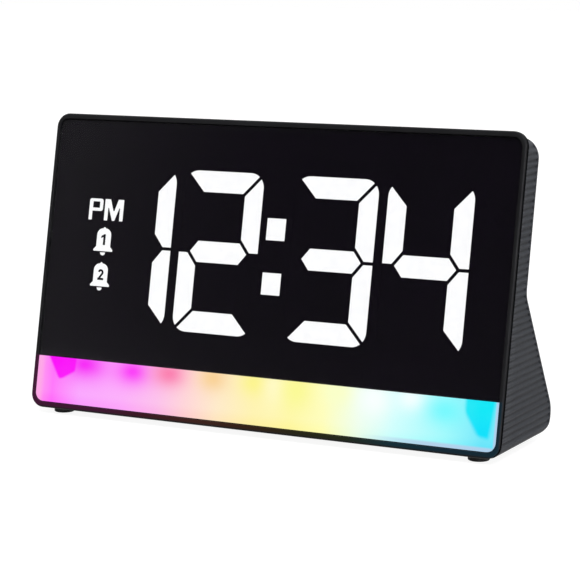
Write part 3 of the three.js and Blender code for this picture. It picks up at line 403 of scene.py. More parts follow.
class Shader:
    """The nodes of a material or a world, with short ways to add and join them."""

    def __init__(self, name, kind="materials", last="Principled BSDF", place="Object"):
        self.made = getattr(bpy.data, kind).new(name)
        self.made.use_nodes = True
        self.tree = self.made.node_tree
        self.last = self.tree.nodes[last]
        self.place = self.node("TexCoord").outputs[place]

    def join(self, socket, value):
        if isinstance(value, bpy.types.NodeSocket):
            self.tree.links.new(value, socket)
        else:
            socket.default_value = value

    def set(self, **values):
        for name, value in values.items():
            self.join(self.last.inputs[name.replace("_", " ")], value)

    def node(self, kind, settings=None, **inputs):
        made = self.tree.nodes.new("ShaderNode" + kind)
        for name, value in (settings or {}).items():
            setattr(made, name, value)
        for name, value in inputs.items():
            self.join(made.inputs[name.replace("_", " ")], value)
        return made

    def math(self, operation, first, second=0.0, third=0.0):
        made = self.node("Math", {"operation": operation})
        for socket, value in zip(made.inputs, (first, second, third)):
            self.join(socket, value)
        return made.outputs[0]

    def times(self, first, second, plus=0.0):
        return self.math("MULTIPLY_ADD", first, second, plus)

    def noise(self, scale, detail=2.0, roughness=0.5, vector=None):
        made = self.node(
            "TexNoise", Vector=vector or self.place, Scale=scale, Detail=detail, Roughness=roughness,
        )
        return made.outputs["Fac"]

    def ramp(self, factor, stops):
        made = self.node("ValToRGB", Fac=factor)
        elements = made.color_ramp.elements
        while len(elements) < len(stops):
            elements.new(0.5)
        for element, (position, colour) in zip(elements, stops):
            element.position = position
            element.color = colour
        return made.outputs["Color"]

    def stretch(self, value, start, end, low=0.0, high=1.0):
        made = self.node("MapRange", {"interpolation_type": "SMOOTHSTEP"}, Value=value)
        for socket, number in zip(list(made.inputs)[1:5], (start, end, low, high)):
            self.join(socket, number)
        return made.outputs[0]

    def between(self, factor, first, second):
        """A number from first at 0 to second at 1."""
        made = self.node("Mix")
        for index, value in ((0, factor), (2, first), (3, second)):
            self.join(made.inputs[index], value)
        return made.outputs[0]

    def mix(self, factor, first, second, blend="MIX"):
        made = self.node("Mix", {"data_type": "RGBA", "blend_type": blend})
        for index, value in ((0, factor), (6, first), (7, second)):
            self.join(made.inputs[index], value)
        return made.outputs[2]

    def bump(self, height, strength, distance):
        made = self.node("Bump", Height=height, Strength=strength, Distance=distance * MM)
        self.set(Normal=made.outputs["Normal"])

    def split(self):
        """x, the height up the leaning face and the depth behind it, in millimetres."""
        parts = self.node("SeparateXYZ", Vector=self.place)
        x = self.times(parts.outputs["X"], 1 / MM)
        y = self.times(parts.outputs["Y"], 1 / MM, -FRONT_Y)
        z = self.times(parts.outputs["Z"], 1 / MM, -FACE_FOOT_Z)
        up = self.times(y, SIN_LEAN, self.times(z, COS_LEAN))
        depth = self.times(y, COS_LEAN, self.times(z, -SIN_LEAN))
        return x, up, depth


def mottled(shader, grain, dark, light):
    """A fine grain, and a tone from dark to light that is mostly broad patches and partly grain."""
    broad = shader.noise(60.0, 3.0)
    fine = shader.noise(grain, 4.0, 0.6)
    tone = shader.times(broad, 0.6, shader.times(fine, 0.4))
    return fine, shader.ramp(tone, [(0.3, dark), (0.7, light)])


def plastic(name, colour, roughness, grain, relief, spread, specular):
    """Moulded plastic: mottled colour, uneven sheen and a fine eroded grain."""
    shader = Shader(name)
    dark = [value * (1 - spread) for value in colour[:3]] + [1.0]
    light = [min(value * (1 + spread), 1.0) for value in colour[:3]] + [1.0]
    fine, tone = mottled(shader, grain, dark, light)
    shader.set(
        Base_Color=tone,
        Roughness=shader.stretch(fine, 0.25, 0.75, roughness - 0.07, roughness + 0.07),
        Specular_IOR_Level=specular,
    )
    shader.bump(fine, 0.5, relief)
    return shader.made


# Painted shade across a rib, from a groove to its crest
RIB_SHADE_STOPS = [(0.0, srgb(38, 39, 43)), (0.35, srgb(51, 53, 57)), (1.0, srgb(60, 62, 67))]


def ribbed_plastic():
    """Charcoal plastic with painted shade: a little darker in the grooves between the ribs and paler on
    their crests.
    """
    shader = Shader("ribbed_plastic")
    parts = shader.node("SeparateXYZ", Vector=shader.place)
    turns = 2 * math.pi / (RIB_PITCH * MM)
    first_crest = turns * (FOOT_DROP + RIB_START) * MM
    # The rib's painted shade follows its height: dark in each groove, pale on each crest
    phase = shader.times(parts.outputs["Z"], turns, -first_crest)
    crest = shader.times(shader.math("COSINE", phase), 0.5, 0.5)
    ribs = shader.ramp(crest, RIB_SHADE_STOPS)
    fine, mottle = mottled(shader, 1000.0, srgb(222, 222, 226), srgb(255, 255, 255))
    shader.set(
        Base_Color=shader.mix(1.0, ribs, mottle, "MULTIPLY"),
        Roughness=shader.stretch(fine, 0.25, 0.75, 0.58, 0.72),
        Specular_IOR_Level=0.16,
    )
    shader.bump(fine, 0.5, 0.02)
    return shader.made


def metal(name, colour, roughness):
    """Plated or drawn metal with fine scratches."""
    shader = Shader(name)
    scratches = (40.0, 40.0, 1500.0)
    stretched = shader.node("Mapping", Vector=shader.place, Scale=scratches).outputs["Vector"]
    lines = shader.noise(6.0, 4.0, 0.6, stretched)
    dark = [value * 0.75 for value in colour[:3]] + [1.0]
    shader.set(
        Base_Color=shader.ramp(lines, [(0.3, dark), (0.7, colour)]),
        Roughness=shader.stretch(lines, 0.2, 0.8, roughness - 0.08, roughness + 0.1),
        Metallic=1.0,
    )
    shader.bump(lines, 0.3, 0.01)
    return shader.made


def circuit_board():
    """Solder resist over copper tracks."""
    shader = Shader("circuit_board")
    tracks = shader.node(
        "TexBrick", Vector=shader.place, Scale=120.0,
        Color1=srgb(26, 92, 55), Color2=srgb(18, 74, 42), Mortar=srgb(52, 130, 80),
    )
    grain = shader.noise(700.0, 3.0)
    dirt = shader.stretch(grain, 0.3, 0.8, 0.0, 0.4)
    shader.set(
        Base_Color=shader.mix(dirt, tracks.outputs["Color"], srgb(14, 60, 34)),
        Roughness=shader.stretch(grain, 0.2, 0.8, 0.3, 0.5),
    )
    shader.bump(tracks.outputs["Fac"], 0.4, 0.03)
    return shader.made


def smoked_lens():
    """Polished smoked acrylic that lets the lit figures through."""
    shader = Shader("smoked_lens")
    smears = shader.noise(35.0, 5.0, 0.6)
    shader.set(
        Base_Color=shader.ramp(smears, [(0.3, srgb(2, 0, 9)), (0.75, srgb(6, 1, 16))]),
        Roughness=shader.stretch(smears, 0.35, 0.75, 0.03, 0.09),
        Alpha=LENS_ALPHA,
        Specular_IOR_Level=0.5,
    )
    return shader.made


def lit_opal():
    """An opal pad lit from behind."""
    shader = Shader("lit_opal")
    cloud = shader.noise(300.0, 3.0)
    shader.set(
        Base_Color=shader.ramp(cloud, [(0.3, srgb(228, 232, 240)), (0.7, srgb(250, 251, 255))]),
        Roughness=shader.stretch(cloud, 0.3, 0.7, 0.4, 0.55),
        Emission_Color=WHITE,
        Emission_Strength=FIGURE_LIGHT,
    )
    return shader.made


# The light bar: its reach, its colour along its length as a screen shows it, and the lamps
# behind its upper edge
BAR_HALF = HALF_WIDTH - RIM_SIDE - FIT_GAP
BAR_STOPS = [
    (-93, (255, 160, 238)), (-86, (255, 118, 250)), (-74, (250, 168, 254)), (-55, (252, 178, 250)),
    (-40, (252, 194, 236)), (-28, (254, 214, 217)), (-15, (254, 234, 202)), (0, (254, 243, 178)),
    (15, (254, 247, 170)), (28, (254, 253, 188)), (42, (238, 254, 236)), (55, (206, 254, 253)),
    (75, (162, 249, 252)), (88, (112, 232, 250)),
]
LAMPS = [  # across, height, half width, half height, colour
    (-72.5, 17.6, 10.5, 6.2, (246, 34, 246)),
    (-51.5, 16.8, 8.0, 5.5, (250, 62, 247)),
    (-36, 17.4, 7.5, 5.0, (250, 128, 176)),
    (-17.5, 17.4, 6.5, 5.0, (249, 210, 152)),
    (0, 17.4, 6.5, 5.0, (251, 243, 140)),
    (8, 17.0, 5.0, 8.0, (255, 249, 198)),
    (16.5, 16.5, 6.5, 7.5, (250, 249, 150)),
    (33, 17.4, 6.0, 5.0, (249, 255, 200)),
    (47, 16.0, 7.0, 7.0, (248, 255, 254)),
    (61, 17.6, 6.0, 4.5, (244, 255, 255)),
    (74, 14.6, 7.5, 5.0, (118, 248, 253)),
]
# The two strongest patches, which run up past the top of the bar
MAGENTA_PATCH = [(-83.6, 11.4), (-82.2, 11.4), (-76.6, 14.6), (-76.0, 25.0), (-92.1, 25.0)]
CYAN_PATCH = [(86.6, 7.2), (90.6, 6.6), (92.9, 25.0), (81.2, 25.0), (81.3, 15.0)]
# Where a change in the bar's colour starts, and where it is full
BAR_FOOT = (7.0, 2.5)
CYAN_RISE = (8.0, 17.0)
RIGHT_BORDER = (92.1, 92.9)
LEFT_BORDER = (-89.5, -92.0)
LOW_BORDER = (4.2, 3.2)
LOW_BORDER_SIDE = (38.0, 70.0)
# The same for its glow on the rim: from below and above, from the side and from behind
GLOW_LOW = (0.2, 1.1)
GLOW_HIGH = (20.0, 19.0)
GLOW_SIDE = (95.0, 94.4)
GLOW_BACK = (1.3, 0.7)
# What the bar's light adds to the rim beside it
GLOW_STOPS = [
    (-66, (57, 8, 43)), (-45, (54, 10, 23)), (-23, (57, 26, 18)), (-3, (46, 23, 5)),
    (17, (32, 29, 6)), (37, (26, 34, 10)), (56, (5, 40, 50)), (75, (5, 34, 46)),
]


def along_bar(shader, stops):
    """A colour from stops along the light bar, with x, the height up the face and the depth."""
    x, up, depth = shader.split()
    along = shader.times(x, 0.5 / BAR_HALF, 0.5)
    colour = shader.ramp(along, [(0.5 + 0.5 * at / BAR_HALF, srgb(*stop)) for at, stop in stops])
    return x, up, depth, colour


def patch(shader, x, up, corners, soft):
    """1 inside a convex outline, given anticlockwise, fading out over soft across its edges."""
    inside = 1.0
    for (x0, up0), (x1, up1) in zip(corners, corners[1:] + corners[:1]):
        length = math.hypot(x1 - x0, up1 - up0)
        across, along = (up0 - up1) / length, (x1 - x0) / length
        depth = shader.times(up, along, -across * x0 - along * up0)
        depth = shader.times(x, across, depth)
        inside = shader.times(shader.stretch(depth, -soft / 2, soft / 2), inside)
    return inside


def light_bar():
    """A frosted lens lit by a row of coloured lamps above it."""
    shader = Shader("light_bar")
    x, up, _, field = along_bar(shader, BAR_STOPS)
    foot = shader.times(shader.stretch(up, *BAR_FOOT), 0.3)
    field = shader.mix(foot, field, shader.mix(1.0, field, field, "MULTIPLY"))
    for across, height, half_width, half_height, colour in LAMPS:
        beside = shader.times(x, 1 / half_width, -across / half_width)
        above = shader.times(up, 1 / half_height, -height / half_height)
        square = shader.times(beside, beside, shader.times(above, above))
        field = shader.mix(shader.math("POWER", 0.35, square), field, srgb(*colour))
    magenta = patch(shader, x, up, MAGENTA_PATCH, 1.3)
    field = shader.mix(magenta, field, srgb(250, 0, 248))
    cyan = patch(shader, x, up, CYAN_PATCH, 2.0)
    pure = shader.mix(shader.stretch(up, *CYAN_RISE), srgb(0, 224, 250), srgb(0, 231, 246))
    field = shader.mix(cyan, field, pure)
    # The lens's border, which the lamps only reach from the side
    low = shader.times(shader.stretch(up, *LOW_BORDER), shader.stretch(x, *LOW_BORDER_SIDE))
    border = shader.times(shader.math("MAXIMUM", shader.stretch(x, *RIGHT_BORDER), low), 0.85)
    field = shader.mix(border, field, srgb(182, 203, 232))
    left = shader.times(shader.stretch(x, *LEFT_BORDER), 0.7)
    field = shader.mix(left, field, srgb(252, 172, 226))
    cloud = shader.noise(55.0, 3.0)
    field = shader.mix(shader.stretch(cloud, 0.4, 0.8, 0.0, 0.02), field, srgb(255, 250, 255))
    frost = shader.noise(1200.0, 3.0)
    shader.set(
        Base_Color=shader.mix(0.97, field, srgb(10, 10, 12)),
        Roughness=shader.stretch(frost, 0.3, 0.7, 0.34, 0.46),
        Specular_IOR_Level=0.08,
        Emission_Color=field,
        Emission_Strength=BAR_LIGHT,
    )
    shader.bump(frost, 0.2, 0.01)
    return shader.made


def frame_black():
    """Satin black with a fine grain, and a painted glow of the light bar's colours on the rim near it,
    over a darker black there.
    """
    shader = Shader("satin_black")
    fine = shader.noise(1100.0, 4.0, 0.6)
    broad = shader.noise(70.0, 3.0)
    x, up, depth, glow = along_bar(shader, GLOW_STOPS)
    beside = shader.stretch(up, *GLOW_LOW)
    for value, reach in ((up, GLOW_HIGH), (shader.math("ABSOLUTE", x), GLOW_SIDE), (depth, GLOW_BACK)):
        beside = shader.times(beside, shader.stretch(value, *reach))
    black = shader.ramp(broad, [(0.3, srgb(34, 34, 36)), (0.7, srgb(43, 43, 45))])
    # Near the bar the base is darker and the emission paints the bar's light onto the rim: a painted glow
    shader.set(
        Base_Color=shader.mix(beside, black, srgb(22, 22, 24)),
        Roughness=shader.stretch(fine, 0.25, 0.75, 0.3, 0.42),
        Specular_IOR_Level=0.04,
        Emission_Color=shader.mix(beside, srgb(0, 0, 0), glow),
        Emission_Strength=1.0,
    )
    shader.bump(fine, 0.35, 0.012)
    return shader.made


PLASTICS = {  # colour, roughness, grain's scale and relief, spread of the colour, specular level
    # The first entry is the frame's black made darker for the flange's side: painted shade
    "flange_shaded_black": (srgb(17, 17, 19), 0.7, 1100.0, 0.012, 0.25, 0.0),
    "matt_black": (srgb(20, 20, 22), 0.62, 1400.0, 0.015, 0.25, 0.25),
    "film": (srgb(9, 1, 15), 0.55, 500.0, 0.004, 0.25, 0.2),
    "white_plastic": (srgb(226, 226, 222), 0.5, 700.0, 0.01, 0.05, 0.5),
    "charcoal_plastic": (srgb(55, 57, 61), 0.64, 1000.0, 0.02, 0.18, 0.16),
    "black_rubber": (srgb(22, 22, 23), 0.8, 500.0, 0.03, 0.25, 0.3),
    "chip_black": (srgb(27, 27, 30), 0.5, 1600.0, 0.01, 0.25, 0.5),
    "ribbon_grey": (srgb(176, 178, 184), 0.55, 300.0, 0.02, 0.1, 0.5),
    "speaker_paper": (srgb(60, 55, 48), 0.85, 500.0, 0.05, 0.25, 0.5),
}
METALS = {  # colour, roughness
    "black_steel": (srgb(52, 52, 55), 0.38),
    "bright_steel": (srgb(200, 202, 205), 0.28),
    "capacitor_can": (srgb(150, 158, 172), 0.35),
    "speaker_steel": (srgb(92, 93, 97), 0.45),
}
materials = {
    "satin_black": frame_black(),
    "smoked_lens": smoked_lens(),
    "frosted_lens": light_bar(),
    "lit_opal": lit_opal(),
    "circuit_board": circuit_board(),
    "ribbed_plastic": ribbed_plastic(),
}
materials |= {name: plastic(name, *values) for name, values in PLASTICS.items()}
materials |= {name: metal(name, *values) for name, values in METALS.items()}

NODE_ANGLE = 32  # edges of the CAD's own solids stay sharp from here, in degrees

for entry in frame["record"]["subparts"]:
    node = frame["nodes"][entry["node"]]
    node.data.materials.clear()
    node.data.materials.append(materials[entry["material_slot"]])
    shade(node.data, NODE_ANGLE)


# Front frame

def face_outline(inset):
    corner = FACE_CORNER - inset
    return rectangle(inset - HALF_WIDTH, HALF_WIDTH - inset, inset, FACE_HEIGHT - inset, corner, corner)


def tongue_outline(inset):
    side = HALF_WIDTH - TONGUE_INSET - inset
    corner = TONGUE_CORNER - inset
    top = FACE_HEIGHT - TONGUE_INSET - inset
    return rectangle(-side, side, TONGUE_BOTTOM + inset, top, corner, corner)


def opening_outline(grow):
    side = HALF_WIDTH - RIM_SIDE + grow
    corner = FACE_CORNER - RIM_SIDE + grow
    return rectangle(-side, side, RIM_BOTTOM - grow, FACE_HEIGHT - RIM_TOP + grow, corner, corner)


def front_frame(mesh):
    back = FLANGE_DEPTH - BAND_PROUD
    rings = [(face_outline(BAND_PROUD), back), (face_outline(BAND_PROUD), RIM_ROUND)]
    rings += [(face_outline(RIM_ROUND * (1 - cos)), RIM_ROUND * (1 - sin)) for cos, sin in quarter()]
    rings += [(opening_outline(LIP_ROUND * (1 - sin)), LIP_ROUND * (1 - cos)) for cos, sin in quarter()]
    rings += [
        (opening_outline(0.0), RECESS_DEPTH),
        (tongue_outline(TONGUE_WALL), RECESS_DEPTH),
        (tongue_outline(TONGUE_WALL), TONGUE_BACK),
        (tongue_outline(0.0), TONGUE_BACK),
        (tongue_outline(0.0), back),
    ]
    loft(mesh, [at_depth(ring, depth) for ring, depth in rings], joined=True)


def flange_band(mesh):
    """The flange's matt side behind the rounded rim, drawn in a darker black than the rim as painted
    shade.
    """
    near, far = RIM_ROUND, FLANGE_DEPTH
    corners = [(0.0, far), (0.0, near), (BAND_THICKNESS, near), (BAND_THICKNESS, far)]
    loft(mesh, [at_depth(face_outline(inset), depth) for inset, depth in corners], joined=True)


piece("front_rim", front_frame, "satin_black", replaces=["front_frame"], angle=50)
piece("flange_band", flange_band, "satin_black", angle=50, material="flange_shaded_black")


# Lens, film and light bar

lens_low, lens_high = panel_box("display_lens")
bar_low, bar_high = panel_box("light_bar_lens")
LENS_CORNER = FACE_CORNER - RIM_SIDE - FIT_GAP
SEAM_CORNER = 0.2  # where the lens and the light bar meet
LENS_EDGES = (0.14, 0.05)  # radius at the front and at the back
BAR_EDGES = (0.16, 0.05)
BAR_SIDE_STEP = 5.5  # the deep part of the bar's lens is set in by this at its sides
BAR_STEP = 1.6  # and by this at its top and bottom


def box_outline(low, high, inset=0.0, *corners):
    """The outline of a box in the panel's frame, seen from the front."""
    return rectangle(low.x + inset, high.x - inset, low.z + inset, high.z - inset, *corners)


def display_lens(mesh):
    outline = box_outline(lens_low, lens_high, 0.0, LENS_CORNER, SEAM_CORNER)
    add_plate(mesh, outline, lens_low.y, lens_high.y, *LENS_EDGES)


def light_bar_lens(mesh):
    outline = box_outline(bar_low, bar_high, 0.0, SEAM_CORNER, LENS_CORNER)
    add_plate(mesh, outline, bar_low.y, lens_high.y, *BAR_EDGES)
    left, right = bar_low.x + BAR_SIDE_STEP, bar_high.x - BAR_SIDE_STEP
    deep = rectangle(left, right, bar_low.z + BAR_STEP, bar_high.z - BAR_STEP)
    add_plate(mesh, deep, lens_high.y + FILM_GAP, bar_high.y)


piece("display_window", display_lens, "smoked_lens", replaces=["display_lens"])
piece("light_bar_window", light_bar_lens, "frosted_lens", replaces=["light_bar_lens"])


# Figures

def front_loops(node):
    """The outlines, in the panel's frame, of a CAD node's foremost flat faces."""
    mesh = bmesh.new()
    mesh.from_mesh(frame["nodes"][node].data)
    for vertex in mesh.verts:
        vertex.co = to_panel(vertex.co)
    bmesh.ops.remove_doubles(mesh, verts=mesh.verts, dist=SLIVER)
    front = min(vertex.co.y for vertex in mesh.verts) + FLAT
    faces = {face for face in mesh.faces if all(vertex.co.y < front for vertex in face.verts)}
    edges = [edge for edge in mesh.edges if sum(face in faces for face in edge.link_faces) == 1]
    following = {}
    for edge in edges:
        face = next(face for face in edge.link_faces if face in faces)
        loop = next(loop for loop in face.loops if loop.edge == edge)
        following[loop.vert] = loop.link_loop_next.vert
    loops = []
    while following:
        start, vertex = next(iter(following.items()))
        points = [start]
        while vertex != start:
            points.append(vertex)
            vertex = following.pop(vertex)
        following.pop(start)
        outline = [Vector((v.co.x, v.co.z)) for v in points]
        loops.append(outline if area(outline) > 0 else outline[::-1])
    mesh.free()
    return loops


def area(points):
    return sum(points[i - 1].cross(point) for i, point in enumerate(points)) / 2


# Where a digit's segments lie, as shares of its width and height, and the ones that are off
SEGMENT_SHARES = {
    "a": (0.5, 0.93), "d": (0.5, 0.07), "c": (0.88, 0.28), "e": (0.12, 0.28), "f": (0.12, 0.72),
}
SHARE_REACH = 0.17  # a window this near one of them is that segment
UNLIT = {"hour_tens": "", "hour_units": "cf", "colon": "", "minute_tens": "ef", "minute_units": "ade"}


def is_unlit(outline, low, high, names):
    centre = sum(outline, Vector((0, 0))) / len(outline)
    share = Vector(((centre.x - low.x) / (high.x - low.x), (centre.y - low.z) / (high.z - low.z)))
    return any((share - Vector(SEGMENT_SHARES[name])).length < SHARE_REACH for name in names)


def plates(outlines, near, far):
    def build(mesh):
        for outline in outlines:
            add_plate(mesh, outline, near, far)
    return build


windows = []
for figure, names in UNLIT.items():
    node = figure + "_diffuser"
    low, high = panel_box(node)
    loops = [shrunk(loop, WINDOW_INSET) for loop in front_loops(node)]
    windows += loops
    dark = [loop for loop in loops if is_unlit(loop, low, high, names)]
    lit = [loop for loop in loops if loop not in dark]
    piece(figure + "_lit", plates(lit, PAD_NEAR, PAD_FAR), "lit_opal", replaces=[node])
    # Unlit segments get the film's near-black rather than opal: painted shade, for pads that are unlit
    # behind the smoked lens
    if dark:
        piece(figure + "_off", plates(dark, PAD_NEAR, PAD_FAR), "matt_black", material="film")

# The letters and bells beside the figures, about their own middles
LETTER_P = rounded_path([
    (-7.55, -4.1, 0.25), (-5.88, -4.1, 0.25), (-5.88, -0.7, 0.08),
    (-1.36, -0.7, 0.95), (-1.36, 4.1, 0.95), (-7.55, 4.1, 0.95),
])
LETTER_M = rounded_path([
    (-0.76, -4.1, 0.25), (0.98, -4.1, 0.25), (1.02, 0.9, 0.05), (2.87, -4.1, 0.3), (4.06, -4.1, 0.3),
    (5.91, 0.9, 0.05), (5.95, -4.1, 0.25), (7.69, -4.1, 0.25), (7.69, 4.1, 0.25),
    (5.1, 4.1, 0.25), (3.465, -0.55, 0.12), (1.83, 4.1, 0.25), (-0.76, 4.1, 0.25),
])
COUNTER_P = rectangle(-5.88, -2.9, 0.56, 2.92, 0.25, 0.2)
BELL = rounded_path([
    (-4.21, -3.86, 0.25), (4.21, -3.86, 0.25), (4.21, -3.25, 0.3), (3.1, -2.1, 0.6),
    (3.1, 4.7, 2.5), (0.62, 4.7, 0.25), (0.0, 5.35, 0.3), (-0.62, 4.7, 0.25),
    (-3.1, 4.7, 2.5), (-3.1, -2.1, 0.6), (-4.21, -3.25, 0.3),
])
CLAPPER = arc(0.0, -4.3, 1.12, 180, 360, 16)
NUMBER_ONE = [[
    Vector(point) for point in (
        (-0.24, -1.54), (0.71, -1.54), (0.71, 2.54), (0.02, 2.54),
        (-1.19, 1.78), (-1.19, 0.98), (-0.24, 1.42),
    )
]]
NUMBER_STROKE = 0.82
NUMBER_TWO = [
    stroke(arc(0.02, 1.3, 0.86, 168, -18) + [Vector((-0.75, -1.1))], NUMBER_STROKE),
    stroke([Vector((-1.25, -1.09)), Vector((1.38, -1.09))], NUMBER_STROKE),
]
INDICATOR_X = middle(panel_box("indicator_diffuser"))[0]
PERIOD_ROW = 75.8
BELL_SHIFT = 0.2
bells = [(64.1, NUMBER_ONE), (50.95, NUMBER_TWO)]
letters = [shrunk(letter, WINDOW_INSET) for letter in (LETTER_P, LETTER_M)]
indicators = [moved(letter, INDICATOR_X, PERIOD_ROW) for letter in letters]
prints = [moved(COUNTER_P, INDICATOR_X, PERIOD_ROW)]
for row, number in bells:
    indicators += [moved(shape, INDICATOR_X + BELL_SHIFT, row) for shape in (BELL, CLAPPER)]
    prints += [moved(shape, INDICATOR_X + BELL_SHIFT, row) for shape in number]
windows += indicators
lit_signs = plates(indicators, PAD_NEAR, PAD_FAR)
piece("indicators_lit", lit_signs, "lit_opal", replaces=["indicator_diffuser"])
piece("indicator_prints", plates(prints, PRINT_NEAR, PRINT_FAR), "matt_black", material="film")


def film(mesh):
    """A black film behind the lens, with a window for each figure."""
    left, right = lens_low.x + FILM_INSET, lens_high.x - FILM_INSET
    top = lens_high.z - FILM_INSET
    outline = rectangle(left, right, FILM_BOTTOM, top, LENS_CORNER, FILM_ROUND)
    for loop in [outline, *windows]:
        verts = [mesh.verts.new(point) for point in at_depth(loop, FILM_NEAR)]
        for i, vertex in enumerate(verts):
            mesh.edges.new((verts[i - 1], vertex))
    bmesh.ops.triangle_fill(mesh, use_beauty=True, edges=mesh.edges[:])
    made = bmesh.ops.extrude_face_region(mesh, geom=mesh.faces[:])
    back = [item for item in made["geom"] if isinstance(item, bmesh.types.BMVert)]
    shift = panel(0, FILM_FAR, 0) - panel(0, FILM_NEAR, 0)
    bmesh.ops.translate(mesh, verts=back, vec=shift)


piece("display_film", film, "matt_black", replaces=["display_mask"], material="film")


# Housing

def point_in_base(depth, height):
    rise = height * COS_LEAN - depth * SIN_LEAN
    return Vector((depth * COS_LEAN + height * SIN_LEAN, FACE_LIFT + rise))


def housing_profile(inset):
    """The back of the case from the heel up to the top's front edge, as (y, z) points."""
    radius = HEEL_RADIUS
    centre = Vector((CASE_DEPTH - radius, radius))
    to_kink = point_in_base(SLIM_DEPTH, KINK_HEIGHT) - centre
    angle = math.atan2(to_kink.y, to_kink.x) - math.acos(radius / to_kink.length)
    normal = Vector((math.cos(angle), math.sin(angle)))
    distance = normal.dot(centre) + radius - inset
    rise = Vector((SIN_LEAN, COS_LEAN))
    low = point_in_base(SLIM_DEPTH - inset, 0)
    kink = low + rise * (distance - normal.dot(low)) / normal.dot(rise)
    top = TOP_HEIGHT - inset
    back = point_in_base(SLIM_DEPTH - inset, top)
    front = point_in_base(HOUSING_FRONT, top)
    heel = Vector(((distance - normal.y * inset) / normal.x, inset))
    outline = rounded_path([
        (0.0, inset, 0),
        (heel.x, heel.y, HEEL_RADIUS - inset),
        (kink.x, kink.y, KINK_RADIUS + inset),
        (back.x, back.y, max(BACK_EDGE_RADIUS - inset, 0)),
        (front.x, front.y, 0),
    ], 24)
    return outline[1:]


def rounding(past, radius):
    """How far a quarter round of this radius has turned in, at a distance past its start."""
    past = min(max(past, 0.0), radius)
    return radius - math.sqrt(max(radius ** 2 - past ** 2, 0.0))


def side_of(height, z, inset):
    """Half the housing's width at a height up the face and a height above the underside."""
    corner = HOUSING_CORNER - inset
    lower = max(LOWER_EDGE_RADIUS - inset, 0.0)
    side = HALF_WIDTH - HOUSING_INSET - inset
    side -= rounding(height - (TOP_HEIGHT - inset - corner), corner)
    return side - rounding(lower + inset - z, lower)


def clamp(value):
    return min(max(value, 0.0), 1.0)


def rib_drop(z):
    """How far the ribs' surface lies inside the housing's at this height: 0 on a crest."""
    phase = (z - RIB_START) / RIB_PITCH
    return RIB_DEPTH * (0.5 - 0.5 * math.cos(2 * math.pi * phase)) ** RIB_POWER


def housing_level(z, y_rear, inset, ribbed):
    """The housing's section at height z, from the front of its left side round the back."""
    front_height = (z - FACE_LIFT + HOUSING_FRONT * SIN_LEAN) / COS_LEAN
    y_front = front_height * SIN_LEAN + HOUSING_FRONT * COS_LEAN
    rear_height = (z - FACE_LIFT) * COS_LEAN + y_rear * SIN_LEAN
    run = max(y_rear - y_front, 0.0)
    to_top = clamp((TOP_HEIGHT - inset - rear_height) / TOP_ROUND)
    round_off = SIDE_BACK_RADIUS * to_top * clamp(run / ROUND_RUN)
    fade = RIB_FADE * clamp(run / FADE_RUN)
    start = clamp((z - RIB_START) / RIB_LEAD) if ribbed else 0.0
    drop = rib_drop(z) * start if ribbed == "ribs" else PATCH_DROP * (ribbed == "patch")
    last = run - round_off
    places = [0.0, fade / 4, fade / 2, fade, 2 * fade]
    shares = [1 - (1 - step / SIDE_STEPS) ** 2 for step in range(1, SIDE_STEPS)]
    places += [2 * fade + (last - 4 * fade) * share for share in shares]
    places += [last - 2 * fade, last - fade, last]
    side_points = []
    for place in places:
        y = y_front + place
        height = (z - FACE_LIFT) * COS_LEAN + y * SIN_LEAN
        amount = clamp((TOP_HEIGHT - height) / TOP_PLAIN)
        for distance in (place - fade, last - fade - place):
            amount *= clamp(distance / max(fade, TINY))
        side = side_of(height, z, inset)
        side -= 0.0 if inset else EDGE_ROUND * (1 - clamp(place / EDGE_ROUND / 2)) ** 2
        side_points.append(Vector((side - drop * amount, y)))
    corner = side_points[-1]
    for cos, sin in quarter(first=1):
        side_points.append(Vector((corner.x - round_off * (1 - cos), corner.y + round_off * sin)))
    end = side_points[-1].x
    low, high = PLAIN_BAND
    plain = 0.0 if low < z < high else clamp(min(abs(z - low), abs(z - high)) / BAND_FADE)
    y_back = y_rear - drop * plain * clamp((TOP_HEIGHT - BACK_PLAIN - rear_height) / BACK_PLAIN)
    back_points = [
        Vector((end - RIB_FADE, y_rear)), Vector((end - 2 * RIB_FADE, y_back)), Vector((end / 2, y_back)),
    ]
    right = side_points + back_points
    left = [Vector((-p.x, p.y)) for p in right]
    return [base(p.x, p.y, z) for p in left + right[::-1]]


def housing_levels(inset, ribbed):
    """(height, distance of the back) of each section, from the underside to the top."""
    profile = housing_profile(inset)
    heights = [point.y for point in profile]
    wanted = {round(height, 4) for height in heights}
    top = heights[-1]
    wanted |= {inset + (LOWER_EDGE_RADIUS - inset) * (1 - cos) for cos, _ in quarter(LOWER_STEPS)}
    wanted |= {top - (top - heights[-2]) * i / LEVEL_STEPS for i in range(LEVEL_STEPS + 1)}
    wanted |= {top - UPPER_REACH + i * UPPER_PITCH for i in range(UPPER_LEVELS)}
    if ribbed == "ribs":
        count = int((top - RIB_START) / RIB_PITCH * RIB_STEPS)
        wanted |= {RIB_START + RIB_PITCH / RIB_STEPS * i for i in range(count + 1)}
    levels = []
    for z in sorted(wanted):
        if levels and z - levels[-1][0] < LEVEL_GAP or not heights[0] <= z <= top:
            continue
        i = next(i for i in range(1, len(heights)) if heights[i] >= z - TINY)
        low, high = profile[i - 1], profile[i]
        share = (z - low.y) / max(high.y - low.y, TINY)
        levels.append((z, low.x + (high.x - low.x) * clamp(share)))
    if top - levels[-1][0] > TINY:
        levels[-1] = (top, profile[-1].x)
    return levels


def housing_skin(mesh, inset, ribbed):
    """Adds one skin of the housing, open at the front, and closes its floor."""
    loops = [
        [mesh.verts.new(point) for point in housing_level(z, y, inset, ribbed)]
        for z, y in housing_levels(inset, ribbed)
    ]
    for near, far in zip(loops, loops[1:]):
        for i in range(len(near) - 1):
            mesh.faces.new((near[i], near[i + 1], far[i + 1], far[i]))
    mesh.faces.new(loops[0])


